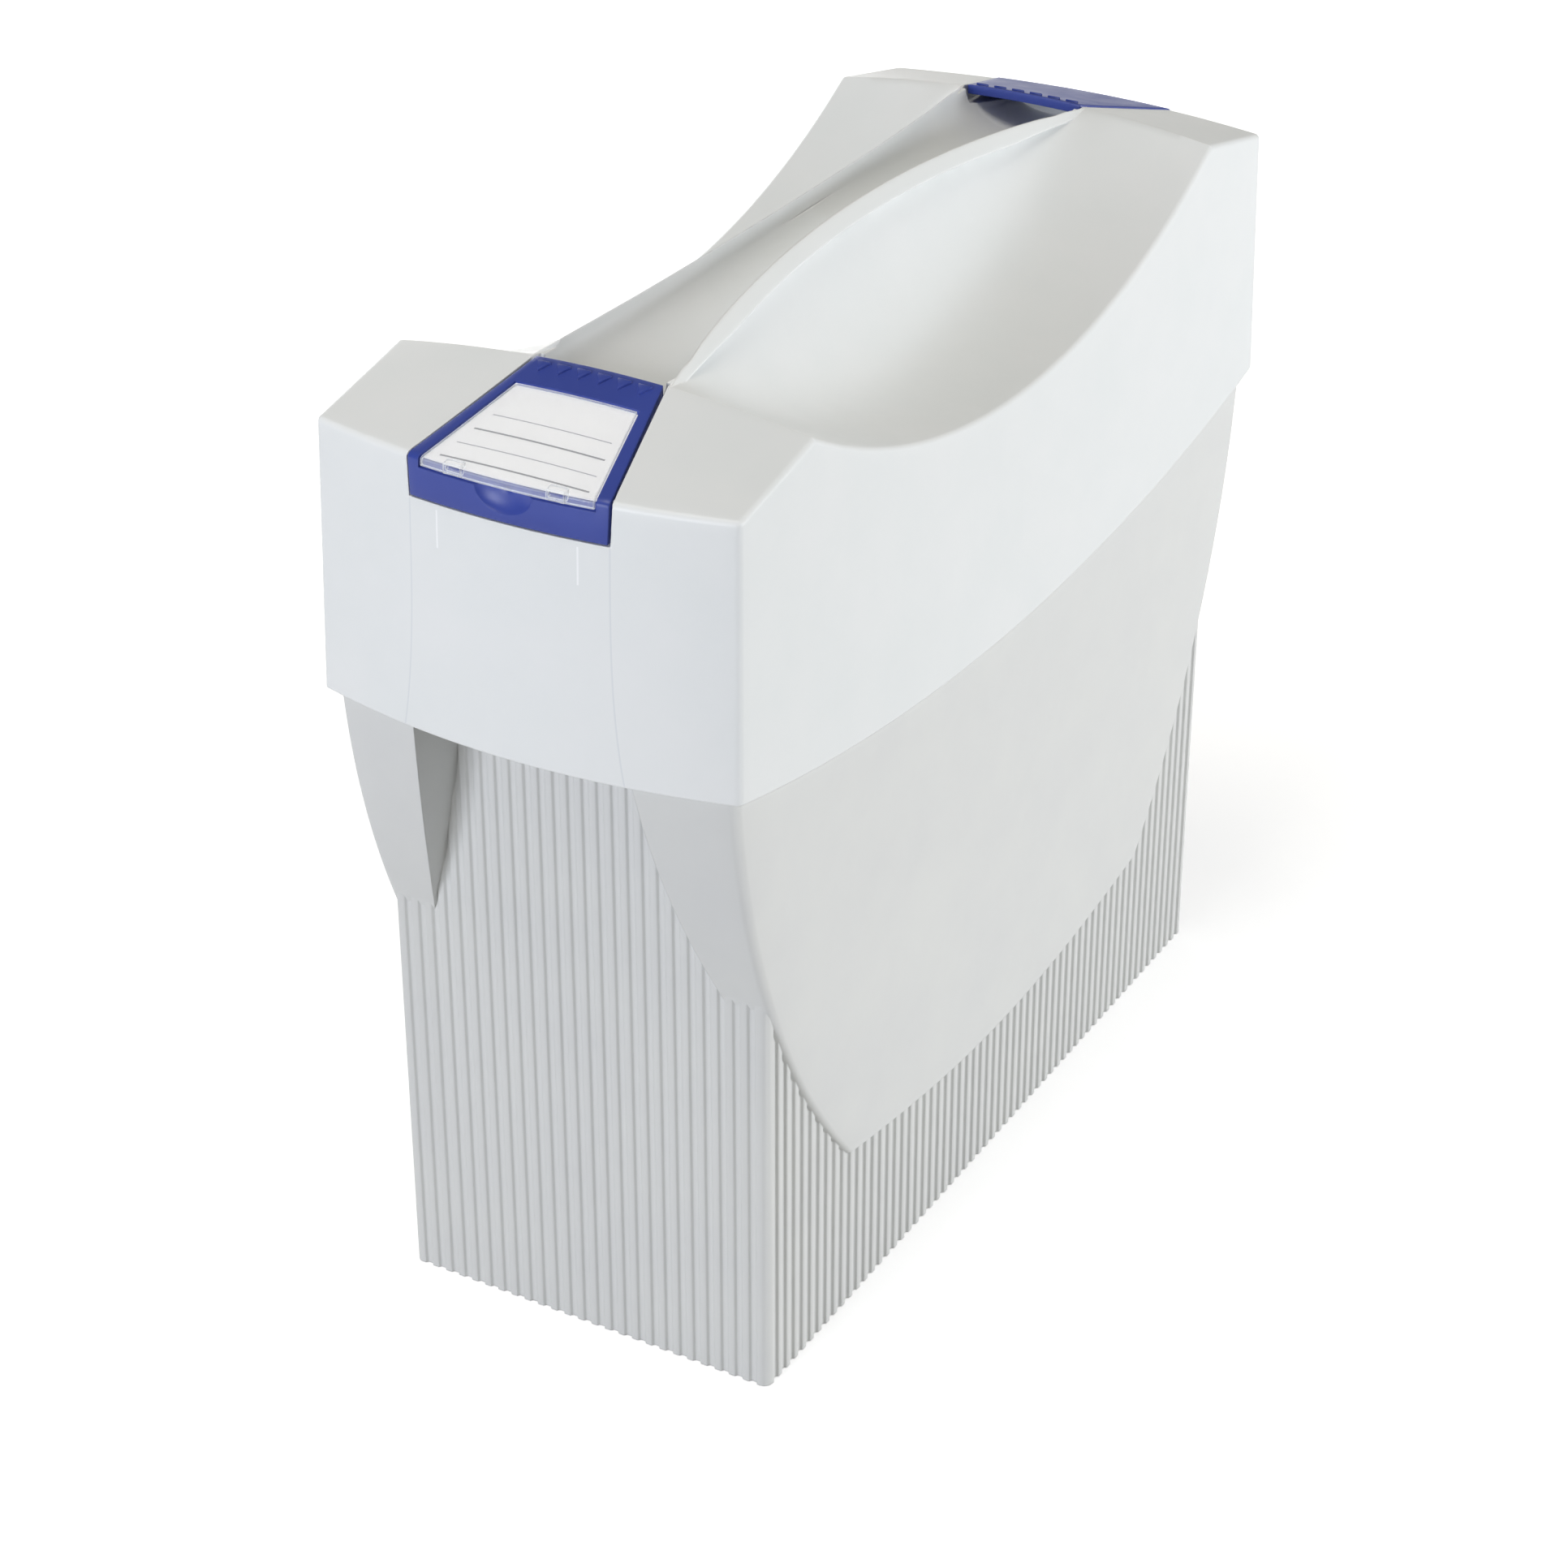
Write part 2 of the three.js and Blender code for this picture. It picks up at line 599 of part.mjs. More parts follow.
function makeLatch(end) {
  let latch = latchSolid(end, latchForm(0, latchProud, () => latchPlate, latchSkirt));
  const underPlate = blockHeight(latchPivotX, 0) + latchProud - latchPlate + overlap;
  const cheekLowZ = latchPivotZ - latchPinRadius - cheekThickness;
  for (const side of [-1, 1]) {
    const [near, far] = [cheekY - cheekThickness / 2, cheekY + cheekThickness / 2];
    const [x0, x1] = [latchPivotX - cheekHalfLength, latchPivotX + cheekHalfLength];
    const cheek = box(end * x0, end * x1, side * near, side * far, cheekLowZ, underPlate);
    const pinEnd = guideY + guideRibThickness / 2;
    const pin = pinAlongY(latchPinRadius, end * latchPivotX, latchPivotZ, side * near, side * pinEnd, 16);
    latch = latch.add(cheek).add(pin);
  }
  const [armIn, armOut] = [armX - armThickness / 2, armX + armThickness / 2];
  const armTop = blockHeight(armX, 0) + latchProud - latchPlate + overlap;
  latch = latch.add(box(end * armIn, end * armOut, -armHalfWidth, armHalfWidth, armFootZ, armTop));
  const nose = shapedBox([0, 1], [-armHalfWidth, armHalfWidth], [0, 1], (inward, y, up) => {
    const x = armIn + mix(overlap / 2, -noseReach, inward);
    return [end * x, y, mix(armFootZ + inward * noseTipHeight, armFootZ + noseHeight, up)];
  });
  latch = latch.add(nose);
  for (let i = 0; i < markCount; i += 1) {
    latch = latch.add(latchMark(end, (i - (markCount - 1) / 2) * markPitch));
  }
  return latch;
}

const frontEnd = -1;
const rearEnd = 1;

// The window's form in the front latch: grow is added at its sides and ends, and top lowers its outer face
function windowForm(grow, top, thickness) {
  return {
    start: windowX - grow,
    innerHalf: windowInnerHalfWidth + grow,
    foldHalf: windowFoldHalfWidth + grow,
    hemHalf: windowFoldHalfWidth + grow,
    hemZ: windowHemZ - grow,
    rise: latchProud - top,
    depth: () => thickness,
    skirt: thickness,
  };
}

function makeFrontLatch() {
  const room = latchSolid(frontEnd, windowForm(0, -clearOf / 2, windowDepth + clearOf / 2));
  const scoop = new THREE.SphereGeometry(1, 20, 12);
  scoop.scale(scoopDepth * 2, scoopHalfWidth, scoopHalfHeight);
  scoop.translate(frontEnd * (foldX(0) + latchProud + scoopDepth), 0, windowHemZ + overlap);
  return makeLatch(frontEnd).subtract(room).subtract(toSolid(scoop));
}

function makeCard() {
  const form = windowForm(-labelGap, windowDepth - labelGap - cardThickness, cardThickness);
  const card = latchSolid(frontEnd, form);
  const stopX = foldX(windowFoldHalfWidth) - windowDepth - labelGap;
  return card.intersect(box(0, frontEnd * stopX, -farOut, farOut, 0, highAbove));
}

function makeFlap() {
  let flap = latchSolid(frontEnd, windowForm(-2 * labelGap, 0, flapThickness));
  for (const side of [-1, 1]) {
    const [near, far] = [tabY - tabWidth / 2, tabY + tabWidth / 2];
    const inner = foldX(tabY) - overlap / 2 - tabLength;
    const tab = shapedBox([0, 1], [near, far], [0, 1], (out, y, up) => {
      const x = inner + out * tabLength;
      return [frontEnd * x, side * y, blockHeight(x, y) + latchProud + mix(-overlap / 2, tabRise, up)];
    });
    flap = flap.add(tab);
  }
  return flap;
}

// Scene graph

const plastic = (color, roughness) => new THREE.MeshStandardMaterial({ color, roughness, metalness: 0 });
const greyPlastic = plastic(0xd6d8d6, 0.45);
const whitePlastic = plastic(0xe3e6e8, 0.4);
const bluePlastic = plastic(0x3b4c9c, 0.35);
const paper = new THREE.MeshStandardMaterial({ color: 0xf0eeee, roughness: 0.9, metalness: 0 });
const clearPlastic = new THREE.MeshStandardMaterial({
  color: 0xf4f8fb,
  roughness: 0.08,
  metalness: 0,
  transparent: true,
  opacity: 0.25,
});

function piece(name, solid, material) {
  const mesh = new THREE.Mesh(toGeometry(solid), material);
  mesh.name = name;
  return mesh;
}

const fileBox = new THREE.Group();
const lidGroup = new THREE.Group();
const frontLatchGroup = new THREE.Group();

frontLatchGroup.add(piece('front_latch', makeFrontLatch(), bluePlastic));
frontLatchGroup.add(piece('label_card', makeCard(), paper));
frontLatchGroup.add(piece('label_flap', makeFlap(), clearPlastic));
lidGroup.add(piece('lid', makeLid(), whitePlastic));
lidGroup.add(frontLatchGroup);
lidGroup.add(piece('rear_latch', makeLatch(rearEnd), bluePlastic));
fileBox.add(piece('tub', makeTub(), greyPlastic));
fileBox.add(lidGroup);

export default fileBox;
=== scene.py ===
"""Looks of the hanging file box: a ribbed grey tub with a smooth collar, a pale hood lid with a two-railed
handle, two blue press latches, and a paper label under a clear flap. Lengths are in millimetres, and MM turns
them into metres."""

import math

import bpy
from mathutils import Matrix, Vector


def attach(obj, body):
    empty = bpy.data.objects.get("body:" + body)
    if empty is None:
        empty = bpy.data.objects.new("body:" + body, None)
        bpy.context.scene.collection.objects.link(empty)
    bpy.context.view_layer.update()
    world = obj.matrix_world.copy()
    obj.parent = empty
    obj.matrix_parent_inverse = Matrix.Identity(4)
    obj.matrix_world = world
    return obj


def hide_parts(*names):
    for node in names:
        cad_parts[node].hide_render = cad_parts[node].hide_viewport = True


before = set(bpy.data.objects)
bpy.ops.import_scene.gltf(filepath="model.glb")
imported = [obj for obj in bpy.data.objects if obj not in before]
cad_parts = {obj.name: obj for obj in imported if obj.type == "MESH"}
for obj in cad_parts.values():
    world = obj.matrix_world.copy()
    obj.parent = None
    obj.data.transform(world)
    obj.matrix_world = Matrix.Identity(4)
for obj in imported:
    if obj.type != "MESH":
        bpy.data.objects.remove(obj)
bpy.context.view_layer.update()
MM = 0.001

# Sizes of the tub
tub_half_x, tub_half_y, tub_height = 162.5, 69.8, 250.0
floor_thickness, tub_corner = 2.6, 3.0
rib_pitch, rib_depth = 5.3, 0.9
rail_height = 12.0
collar_half_x, collar_half_y, collar_wall, collar_corner = 181.0, 71.2, 2.3, 3.0
collar_foot_z, collar_tip_x, collar_tip_z, collar_bottom_z = 148.0, 111.2, 62.0, 50.7
hold_bottom_z, hold_low_z, hold_mid_z = 126.0, 150.0, 190.0
hold_low_half, hold_mid_half, hold_rim_half = 53.0, 44.5, 38.8
deck_z, notch_x, notch_half = 247.0, 177.4, 13.0
cavity_half_x, cavity_half_y = 159.6, 66.9
end_wall_x = 161.6

# Sizes of the lid; the hood's grid is laid out to hood_half_x and hood_span before it is placed
lid_wall, lid_edge, hollow_edge, hollow_drop = 2.4, 1.7, 0.6, 10.0
hood_half_x, hood_band, hood_span = 186.0, 5.0, 100.0
rim_half_x, rim_half_y, rim_corner_z, rim_mid_z = 184.596, 74.371, 232.6, 211.5
end_bow, end_draft, side_draft = 10.3, 0.04, 0.0156
fold_z, ridge_x, ridge_side_z, ridge_crown_z, valley_z = 322.1, 138.8, 331.1, 337.1, 294.4
rail_end_y, rail_waist_y, rail_end_z, rail_crest_z = 24.6, 9.5, 336.4, 345.0
rail_end_radius, rail_radius, flare_power = 1.1, 2.8, 5.2
trough_end_depth, trough_mid_depth, pocket_x, pocket_half_width = 14.0, 7.0, 163.0, 21.2
trough_taper_x, trough_lip = 112.0, 0.35
seat_z, seat_height, seat_half = 250.3, 30.0, 1.0
end_seat_x, end_seat_out, end_seat_y = 177.7, 186.0, 58.0
side_seat_x, side_seat_y, side_seat_out = 110.0, 66.7, 73.0

# Sizes of the latches, of the lid's recesses for them, and of the label
latch_plate, latch_skirt, latch_proud, latch_gap = 3.4, 2.6, 0.4, 0.4
latch_inner_half, latch_fold_half, latch_hem_half, latch_hem_z = 22.0, 34.6, 34.0, 309.4
latch_bend, sharp_bend, window_bend = 1.6, 0.4, 1.2
housing_sunk, press_slack, room_lead, well_half = 0.3, 0.25, 2.6, 21.8
pivot_x, pivot_z, pin_radius, pin_gap = 172.0, 316.0, 2.0, 0.35
press_slope = math.tan(math.radians(5))
guide_y, guide_half, guide_inset, guide_drop, guide_top_z = 23.0, 1.2, 1.2, 12.0, 319.0
cheek_inner, cheek_outer, cheek_half_x, cheek_drop = 19.0, 21.0, 5.5, 4.0
arm_x, arm_half_width, arm_half, arm_foot_z = 180.0, 11.0, 1.1, 243.0
nose_root, nose_reach, nose_slope, nose_height = 0.5, 1.2, 1.8, 3.0
grip_count, grip_pitch, grip_x, grip_radius, grip_height, grip_proud = 6, 7.0, 143.2, 2.9, 1.6, 0.75
window_x, window_inner_half, window_fold_half, window_depth, window_hem_z = 151.5, 21.6, 30.4, 2.0, 319.0
scoop_size, scoop_out = (4.5, 11.4, 8.4), 1.9
card_gap, card_drop, card_thickness, card_bend, card_keep_half = 0.3, 1.3, 0.4, 0.6, 36.0
flap_gap, flap_thickness = 0.6, 1.0
tab_inner_y, tab_mid_y, tab_outer_y = 14.6, 17.5, 20.8
tab_back, tab_length, tab_below, tab_above = 2.0, 2.9, 2.4, 0.9

# The mould's witness lines and pale streaks on the lid's ends; the streaks are painted highlights of sink
# marks
witness_x, witness_top_z, witness_bend_z, witness_fall = 183.0, 309.0, 305.0, 72.4
witness_y, witness_flare, witness_half = 34.5, 4.5, 0.28
sink_highlight_y, sink_highlight_half, sink_highlight_z, sink_highlight_half_length = 24.3, 0.3, 301.0, 6.0

# Cutters run this far past what they cut
clear_of, window_clear = 12.0, 6.0
far_out, high_above = 220.0, 400.0


def clamp(value, low, high):
    return min(max(value, low), high)


def mix(low, high, share):
    return low + (high - low) * share


def steps(low, high, count):
    return [mix(low, high, i / count) for i in range(count + 1)]


def mirrored(half):
    return [-value for value in reversed(half[1:])] + list(half)


def circle_through(a, b, c):
    d = 2 * (a[0] * (b[1] - c[1]) + b[0] * (c[1] - a[1]) + c[0] * (a[1] - b[1]))
    s, t, u = (p[0] ** 2 + p[1] ** 2 for p in (a, b, c))
    x = (s * (b[1] - c[1]) + t * (c[1] - a[1]) + u * (a[1] - b[1])) / d
    y = (s * (c[0] - b[0]) + t * (a[0] - c[0]) + u * (b[0] - a[0])) / d
    return x, y, math.hypot(a[0] - x, a[1] - y)


# Making and joining solids


def only(piece):
    """Leaves this piece alone selected and active."""
    bpy.ops.object.select_all(action="DESELECT")
    piece.select_set(True)
    bpy.context.view_layer.objects.active = piece


def face_outward(piece):
    only(piece)
    bpy.ops.object.mode_set(mode="EDIT")
    bpy.ops.mesh.select_all(action="SELECT")
    bpy.ops.mesh.normals_make_consistent(inside=False)
    bpy.ops.object.mode_set(mode="OBJECT")


def shaped_box(name, along, across, up, place):
    """A grid extruded level by level into a box, whose points are then moved to their places."""
    bpy.ops.object.select_all(action="DESELECT")
    bpy.ops.mesh.primitive_grid_add(
        x_subdivisions=len(along) - 1, y_subdivisions=len(across) - 1, size=1, location=(0, 0, 0)
    )
    piece = bpy.context.object
    piece.name = name
    levels = len(up) - 1
    bpy.ops.object.mode_set(mode="EDIT")
    bpy.ops.mesh.select_all(action="SELECT")
    for _ in range(levels):
        bpy.ops.mesh.extrude_region_move(TRANSFORM_OT_translate={"value": (0, 0, 1 / levels)})
    bpy.ops.object.mode_set(mode="OBJECT")
    for vertex in piece.data.vertices:
        p = along[round((vertex.co.x + 0.5) * (len(along) - 1))]
        q = across[round((vertex.co.y + 0.5) * (len(across) - 1))]
        r = up[round(vertex.co.z * levels)]
        vertex.co = Vector(place(p, q, r)) * MM
    face_outward(piece)
    return piece


def block(name, x, y, z):
    """A plain cutter or rib between two x, y and z values."""
    return shaped_box(name, sorted(x), sorted(y), sorted(z), lambda a, b, c: (a, b, c))


def outline_prism(name, outline, place_low, place_high):
    """A ring of points filled and extruded, with its two ends placed by functions of the outline's points."""
    bpy.ops.object.select_all(action="DESELECT")
    bpy.ops.mesh.primitive_circle_add(vertices=len(outline), radius=1, fill_type="NGON", location=(0, 0, 0))
    piece = bpy.context.object
    piece.name = name
    count = len(outline)
    bpy.ops.object.mode_set(mode="EDIT")
    bpy.ops.mesh.select_all(action="SELECT")
    bpy.ops.mesh.extrude_region_move(TRANSFORM_OT_translate={"value": (0, 0, 1)})
    bpy.ops.object.mode_set(mode="OBJECT")
    for vertex in piece.data.vertices:
        turn = math.atan2(-vertex.co.x, vertex.co.y) % (2 * math.pi)
        point = outline[round(turn / (2 * math.pi) * count) % count]
        place = place_high if vertex.co.z > 0.5 else place_low
        vertex.co = Vector(place(*point)) * MM
    face_outward(piece)
    return piece


def combine(piece, other, operation):
    """Joins, cuts or crops one closed solid with another, which is used up."""
    modifier = piece.modifiers.new("combine", "BOOLEAN")
    modifier.operation = operation
    modifier.solver = "MANIFOLD"
    modifier.object = other
    only(piece)
    bpy.ops.object.modifier_apply(modifier=modifier.name)
    bpy.data.objects.remove(other)
    return piece


def join(piece, other):
    return combine(piece, other, "UNION")


def cut(piece, other):
    return combine(piece, other, "DIFFERENCE")


def smooth(piece, degrees=34):
    only(piece)
    bpy.ops.object.shade_smooth_by_angle(angle=math.radians(degrees))
    return piece


def round_edges(piece, width):
    bevel = piece.modifiers.new("round edges", "BEVEL")
    bevel.width, bevel.segments = width * MM, 2
    bevel.limit_method, bevel.angle_limit = "ANGLE", math.radians(40)
    only(piece)
    bpy.ops.object.modifier_apply(modifier=bevel.name)
    return piece


# Tub

collar_arc = circle_through(
    (collar_half_x, rim_corner_z), (tub_half_x, collar_foot_z), (collar_tip_x, collar_tip_z)
)
hold_arc = circle_through(
    (hold_rim_half, rim_corner_z), (hold_mid_half, hold_mid_z), (hold_low_half, hold_low_z)
)


def bow(y):
    return end_bow * (1 - (y / rim_half_y) ** 2)


def collar_reach(z):
    rise = clamp(z - collar_arc[1], -collar_arc[2], collar_arc[2])
    return min(collar_arc[0] + math.sqrt(collar_arc[2] ** 2 - rise**2), collar_half_x)


def corner_inset(y, half, radius):
    past = clamp(abs(y) - (half - radius), 0, radius)
    return radius - math.sqrt(radius**2 - past**2)


def collar(name, inset, top_z):
    """The smooth band round the tub's upper part, whose side outline sweeps down to two tips."""
    half = collar_half_y - inset
    radius = max(collar_corner - inset, 0.5)
    corner = [half - radius + radius * math.sin(math.radians(a)) for a in (0, 15, 30, 45, 60, 75, 90)]
    across = mirrored(steps(0, half - radius, 12)[:-1] + corner)

    def place(share, y, height):
        bottom = mix(collar_bottom_z, collar_tip_z, share * share) + inset
        z = mix(bottom, top_z, height)
        swell = clamp((z - collar_foot_z) / (rim_corner_z - collar_foot_z), 0, 1)
        end = collar_reach(z) - inset + bow(y) * swell - corner_inset(y, half, radius)
        return share * end, y, z

    return shaped_box(name, mirrored(steps(0, 1, 10)), across, steps(0, 1, 56), place)


def hold_half_width(z):
    rise = clamp(z - hold_arc[1], -hold_arc[2], hold_arc[2])
    side = 1 if hold_mid_half > hold_arc[0] else -1
    return hold_arc[0] + side * math.sqrt(hold_arc[2] ** 2 - rise**2)


def hand_hold(end, inset, top_z):
    """The opening between the collar's corner claws at one end."""

    def place(out, side, height):
        z = mix(hold_bottom_z, top_z, height)
        half = hold_half_width(min(z, deck_z)) + inset
        return end * mix(cavity_half_x, far_out, out), side * half, z

    return shaped_box("hand_hold", [0, 1], [-1, 1], steps(0, 1, 40), place)


def ribbed_outline():
    """The tub's plan: flat ribs, soft slopes, flat channels of nearly the ribs' width, and rounded corners.
    A slope's points are distances from the channel's middle and how far they are sunk, as shares."""
    outline = []
    slope = ((0.13, 1), (0.17, 0.9), (0.22, 0.5), (0.27, 0.1), (0.31, 0))
    shape = [(-0.5, 0)] + [(-along, sunk) for along, sunk in reversed(slope)] + list(slope)
    sides = ((tub_half_x, tub_half_y), (tub_half_y, tub_half_x)) * 2
    for turn, (half, distance) in enumerate(sides):
        run = 2 * (half - tub_corner)
        count = round(run / rib_pitch)
        pitch = run / count
        side = []
        for i in range(count):
            middle = -run / 2 + (i + 0.5) * pitch
            side += [(middle + u * pitch, distance - rib_depth * sunk) for u, sunk in shape]
        for i in range(6):
            bend = math.radians(15 * i)
            side.append((
                half - tub_corner + tub_corner * math.sin(bend),
                distance - tub_corner + tub_corner * math.cos(bend),
            ))
        c, s = round(math.cos(turn * math.pi / 2)), round(math.sin(turn * math.pi / 2))
        outline += [(along * c + out * s, -out * c + along * s) for along, out in side]
    return outline


def make_tub():
    tub = outline_prism(
        "ribbed_tub", ribbed_outline(), lambda x, y: (x, y, 0), lambda x, y: (x, y, tub_height)
    )
    band = collar("collar", 0, tub_height)
    for end in (-1, 1):
        cut(band, hand_hold(end, 0, deck_z))
    join(tub, band)
    hollow = collar("cavity", collar_wall, tub_height + 1)
    wall = block("wall", (-end_wall_x, end_wall_x), (-far_out, far_out), (0, high_above))
    pockets = hollow.copy()
    pockets.data = hollow.data.copy()
    bpy.context.scene.collection.objects.link(pockets)
    cut(pockets, wall)
    for end in (-1, 1):
        cut(pockets, hand_hold(end, collar_wall, tub_height + 1))
    inside = block("inside", (-cavity_half_x, cavity_half_x), (-far_out, far_out), (0, high_above))
    combine(hollow, inside, "INTERSECT")
    core_x, core_y = (-cavity_half_x, cavity_half_x), (-cavity_half_y, cavity_half_y)
    join(hollow, block("core", core_x, core_y, (floor_thickness, high_above)))
    cut(tub, hollow)
    cut(tub, pockets)
    for end in (-1, 1):
        rail_x = (end * cavity_half_x, end * end_wall_x)
        join(tub, block("rail", rail_x, core_y, (deck_z, tub_height + rail_height)))
        notch_z = (deck_z - 1, high_above)
        cut(tub, block("notch", (end * notch_x, end * far_out), (-notch_half, notch_half), notch_z))
    return smooth(tub, 30)


# Lid


def rim_height(x):
    return mix(rim_mid_z, rim_corner_z, min((x / rim_half_x) ** 2, 1))


def side_half_width(z):
    return rim_half_y - side_draft * (z - rim_corner_z)


def end_reach(y, z):
    return rim_half_x + bow(y) - end_draft * (z - rim_corner_z)


def fold_x(y):
    return end_reach(y, fold_z)


ridge_half_width = side_half_width(ridge_side_z)


def ridge_height(y):
    return mix(ridge_crown_z, ridge_side_z, (y / ridge_half_width) ** 2)


def block_height(x, y):
    """An end block's top, which slopes from its ridge down to the fold."""
    return mix(ridge_height(y), fold_z, (abs(x) - ridge_x) / (fold_x(y) - ridge_x))


def valley_share(x):
    depth = ridge_side_z - valley_z
    radius = (ridge_x**2 + depth**2) / (2 * depth)
    return 1 - (radius - math.sqrt(radius**2 - min(abs(x), ridge_x) ** 2)) / depth


def rail(x):
    """Distance from mid-width, height of the top, and radius of a handle rail."""
    share = clamp(1 - (x / ridge_x) ** 2, 0, 1)
    radius = mix(rail_end_radius, rail_radius, min(1, 1.8 * share))
    return mix(rail_end_y, rail_waist_y, share), mix(rail_end_z, rail_crest_z, share), radius


def top_height(x, y):
    if abs(x) >= ridge_x:
        return block_height(x, y)
    rail_y, rail_z, radius = rail(x)
    share = valley_share(x)
    floor = ridge_height(y) - (ridge_height(y) - valley_z) * share
    root = mix(ridge_height(rail_y), rail_z - 1.7 * radius, min(1, 2.5 * share))
    # the flank starts under the rail's crest, so the rail's lower edge stands clear of it
    start = rail_y - 0.45 * radius
    across = clamp((abs(y) - start) / (ridge_half_width - start), 0, 1)
    return mix(floor, root, (1 - across) ** flare_power)


def rounded(x, y, depth, half_x, half_y, radius):
    """Draws a point of a sharp box in onto rounded corners and a rounded top edge; depth is below the top."""
    core = Vector((
        clamp(x, radius - half_x, half_x - radius),
        clamp(y, radius - half_y, half_y - radius),
        max(depth, radius),
    ))
    past = Vector((x, y, depth)) - core
    return core + past * (radius / past.length) if past.length > 1e-6 else core


def hood(name, inset, edge, bottom_drop, top, x_count, y_count):
    """The lid's form, drawn in by an inset, with its sides running down to the curved rim."""
    half_x, half_y = hood_half_x - inset, rim_half_y - inset
    rounding = [math.tan(math.radians(a)) for a in (12, 24, 35, 45)]
    lip_x = [half_x - edge + edge * t for t in rounding]
    lip_y = [half_y - edge + edge * t for t in rounding]
    valley_x = steps(0, ridge_x, x_count) + [ridge_x + 0.02]
    along = mirrored(valley_x + steps(ridge_x + 3, half_x - edge, 12) + lip_x)
    across = mirrored(steps(0, half_y - edge, y_count) + lip_y)
    levels = [0] + [edge - edge * t for t in reversed(rounding[:-1])] + [edge, hood_band]
    levels += [hood_band + (hood_span - hood_band) * i / 12 for i in range(1, 13)]

    def place(a, b, depth):
        x, y, d = rounded(a, b, depth, half_x, half_y, edge)
        y_top = y * (side_half_width(ridge_side_z) - inset) / half_y
        surface = top(x, y_top)
        bottom = rim_height(x) - bottom_drop
        below = (d - hood_band) / (hood_span - hood_band)
        z = surface - d if d <= hood_band else mix(surface - hood_band, bottom, below)
        y_real = y * (side_half_width(z) - inset) / half_y
        x_real = x
        if abs(x) > ridge_x + 0.01:
            share = (abs(x) - ridge_x) / (half_x - ridge_x)
            x_real = math.copysign(mix(ridge_x, end_reach(y_real, z) - inset, share), x)
            if d <= hood_band:
                z = top(x_real, y_real) - d
        return x_real, y_real, z

    return shaped_box(name, along, across, levels, place)


def trough(grow, end_x, x_count, lip=0.0):
    """The space over the round floor between the rails, grown outwards by a wall. It widens into the pockets
    at the latches. With a lip, a share of the rails' radius, it is narrower and starts near the crests."""
    along = mirrored(steps(0, ridge_x, x_count) + [ridge_x + 0.01, end_x])

    def place(x, angle, height):
        y, z, radius = rail(x)
        share = math.sin(math.radians(angle))
        near_end = clamp((abs(x) - trough_taper_x) / (ridge_x - trough_taper_x), 0, 1)
        half = mix(y - lip * radius, pocket_half_width, near_end * near_end * (3 - 2 * near_end)) + grow
        depth = mix(trough_end_depth, trough_mid_depth, clamp(1 - abs(x) / ridge_x, 0, 1)) + grow
        start = z - (0.05 if lip else 1) * radius
        floor = start - depth * math.sqrt(max(0, 1 - share * share))
        return x, share * half, mix(floor, high_above, height)

    return shaped_box("trough", along, mirrored(steps(0, 90, 10)), [0, 1], place)


def handle_rail(side):
    """One rail of the handle: a crest on its inner side, a band that slopes down outwards, and a round lower
    edge. The section's points are distances out from the rail's line and up from its top, in radii."""
    section = (
        (-0.58, -0.1), (-0.45, 0.0), (-0.28, -0.06), (0.0, -0.36), (0.35, -0.78), (0.7, -1.22),
        (0.92, -1.5), (0.99, -1.64), (0.94, -1.77), (0.72, -1.86), (0.3, -1.95), (-0.3, -2.0),
        (-0.9, -2.0), (-0.95, -1.5), (-0.85, -0.9), (-0.7, -0.4),
    )
    stations = steps(-ridge_x - 1, ridge_x + 1, 110)
    bpy.ops.object.select_all(action="DESELECT")
    bpy.ops.mesh.primitive_cylinder_add(vertices=len(section), radius=1, depth=1, location=(0, 0, 0))
    bead = bpy.context.object
    bead.name = "handle_rail"
    bpy.ops.object.mode_set(mode="EDIT")
    for i in range(1, len(stations) - 1):
        bpy.ops.mesh.select_all(action="SELECT")
        bpy.ops.mesh.bisect(plane_co=(0, 0, i / (len(stations) - 1) - 0.5), plane_no=(0, 0, 1))
    bpy.ops.object.mode_set(mode="OBJECT")
    for vertex in bead.data.vertices:
        x = stations[round((vertex.co.z + 0.5) * (len(stations) - 1))]
        turn = math.atan2(vertex.co.y, vertex.co.x) % (2 * math.pi)
        out, rise = section[round(turn / (2 * math.pi) * len(section)) % len(section)]
        y, z, radius = rail(x)
        vertex.co = Vector((x, side * (y + out * radius), z + rise * radius)) * MM
    face_outward(bead)
    return bead


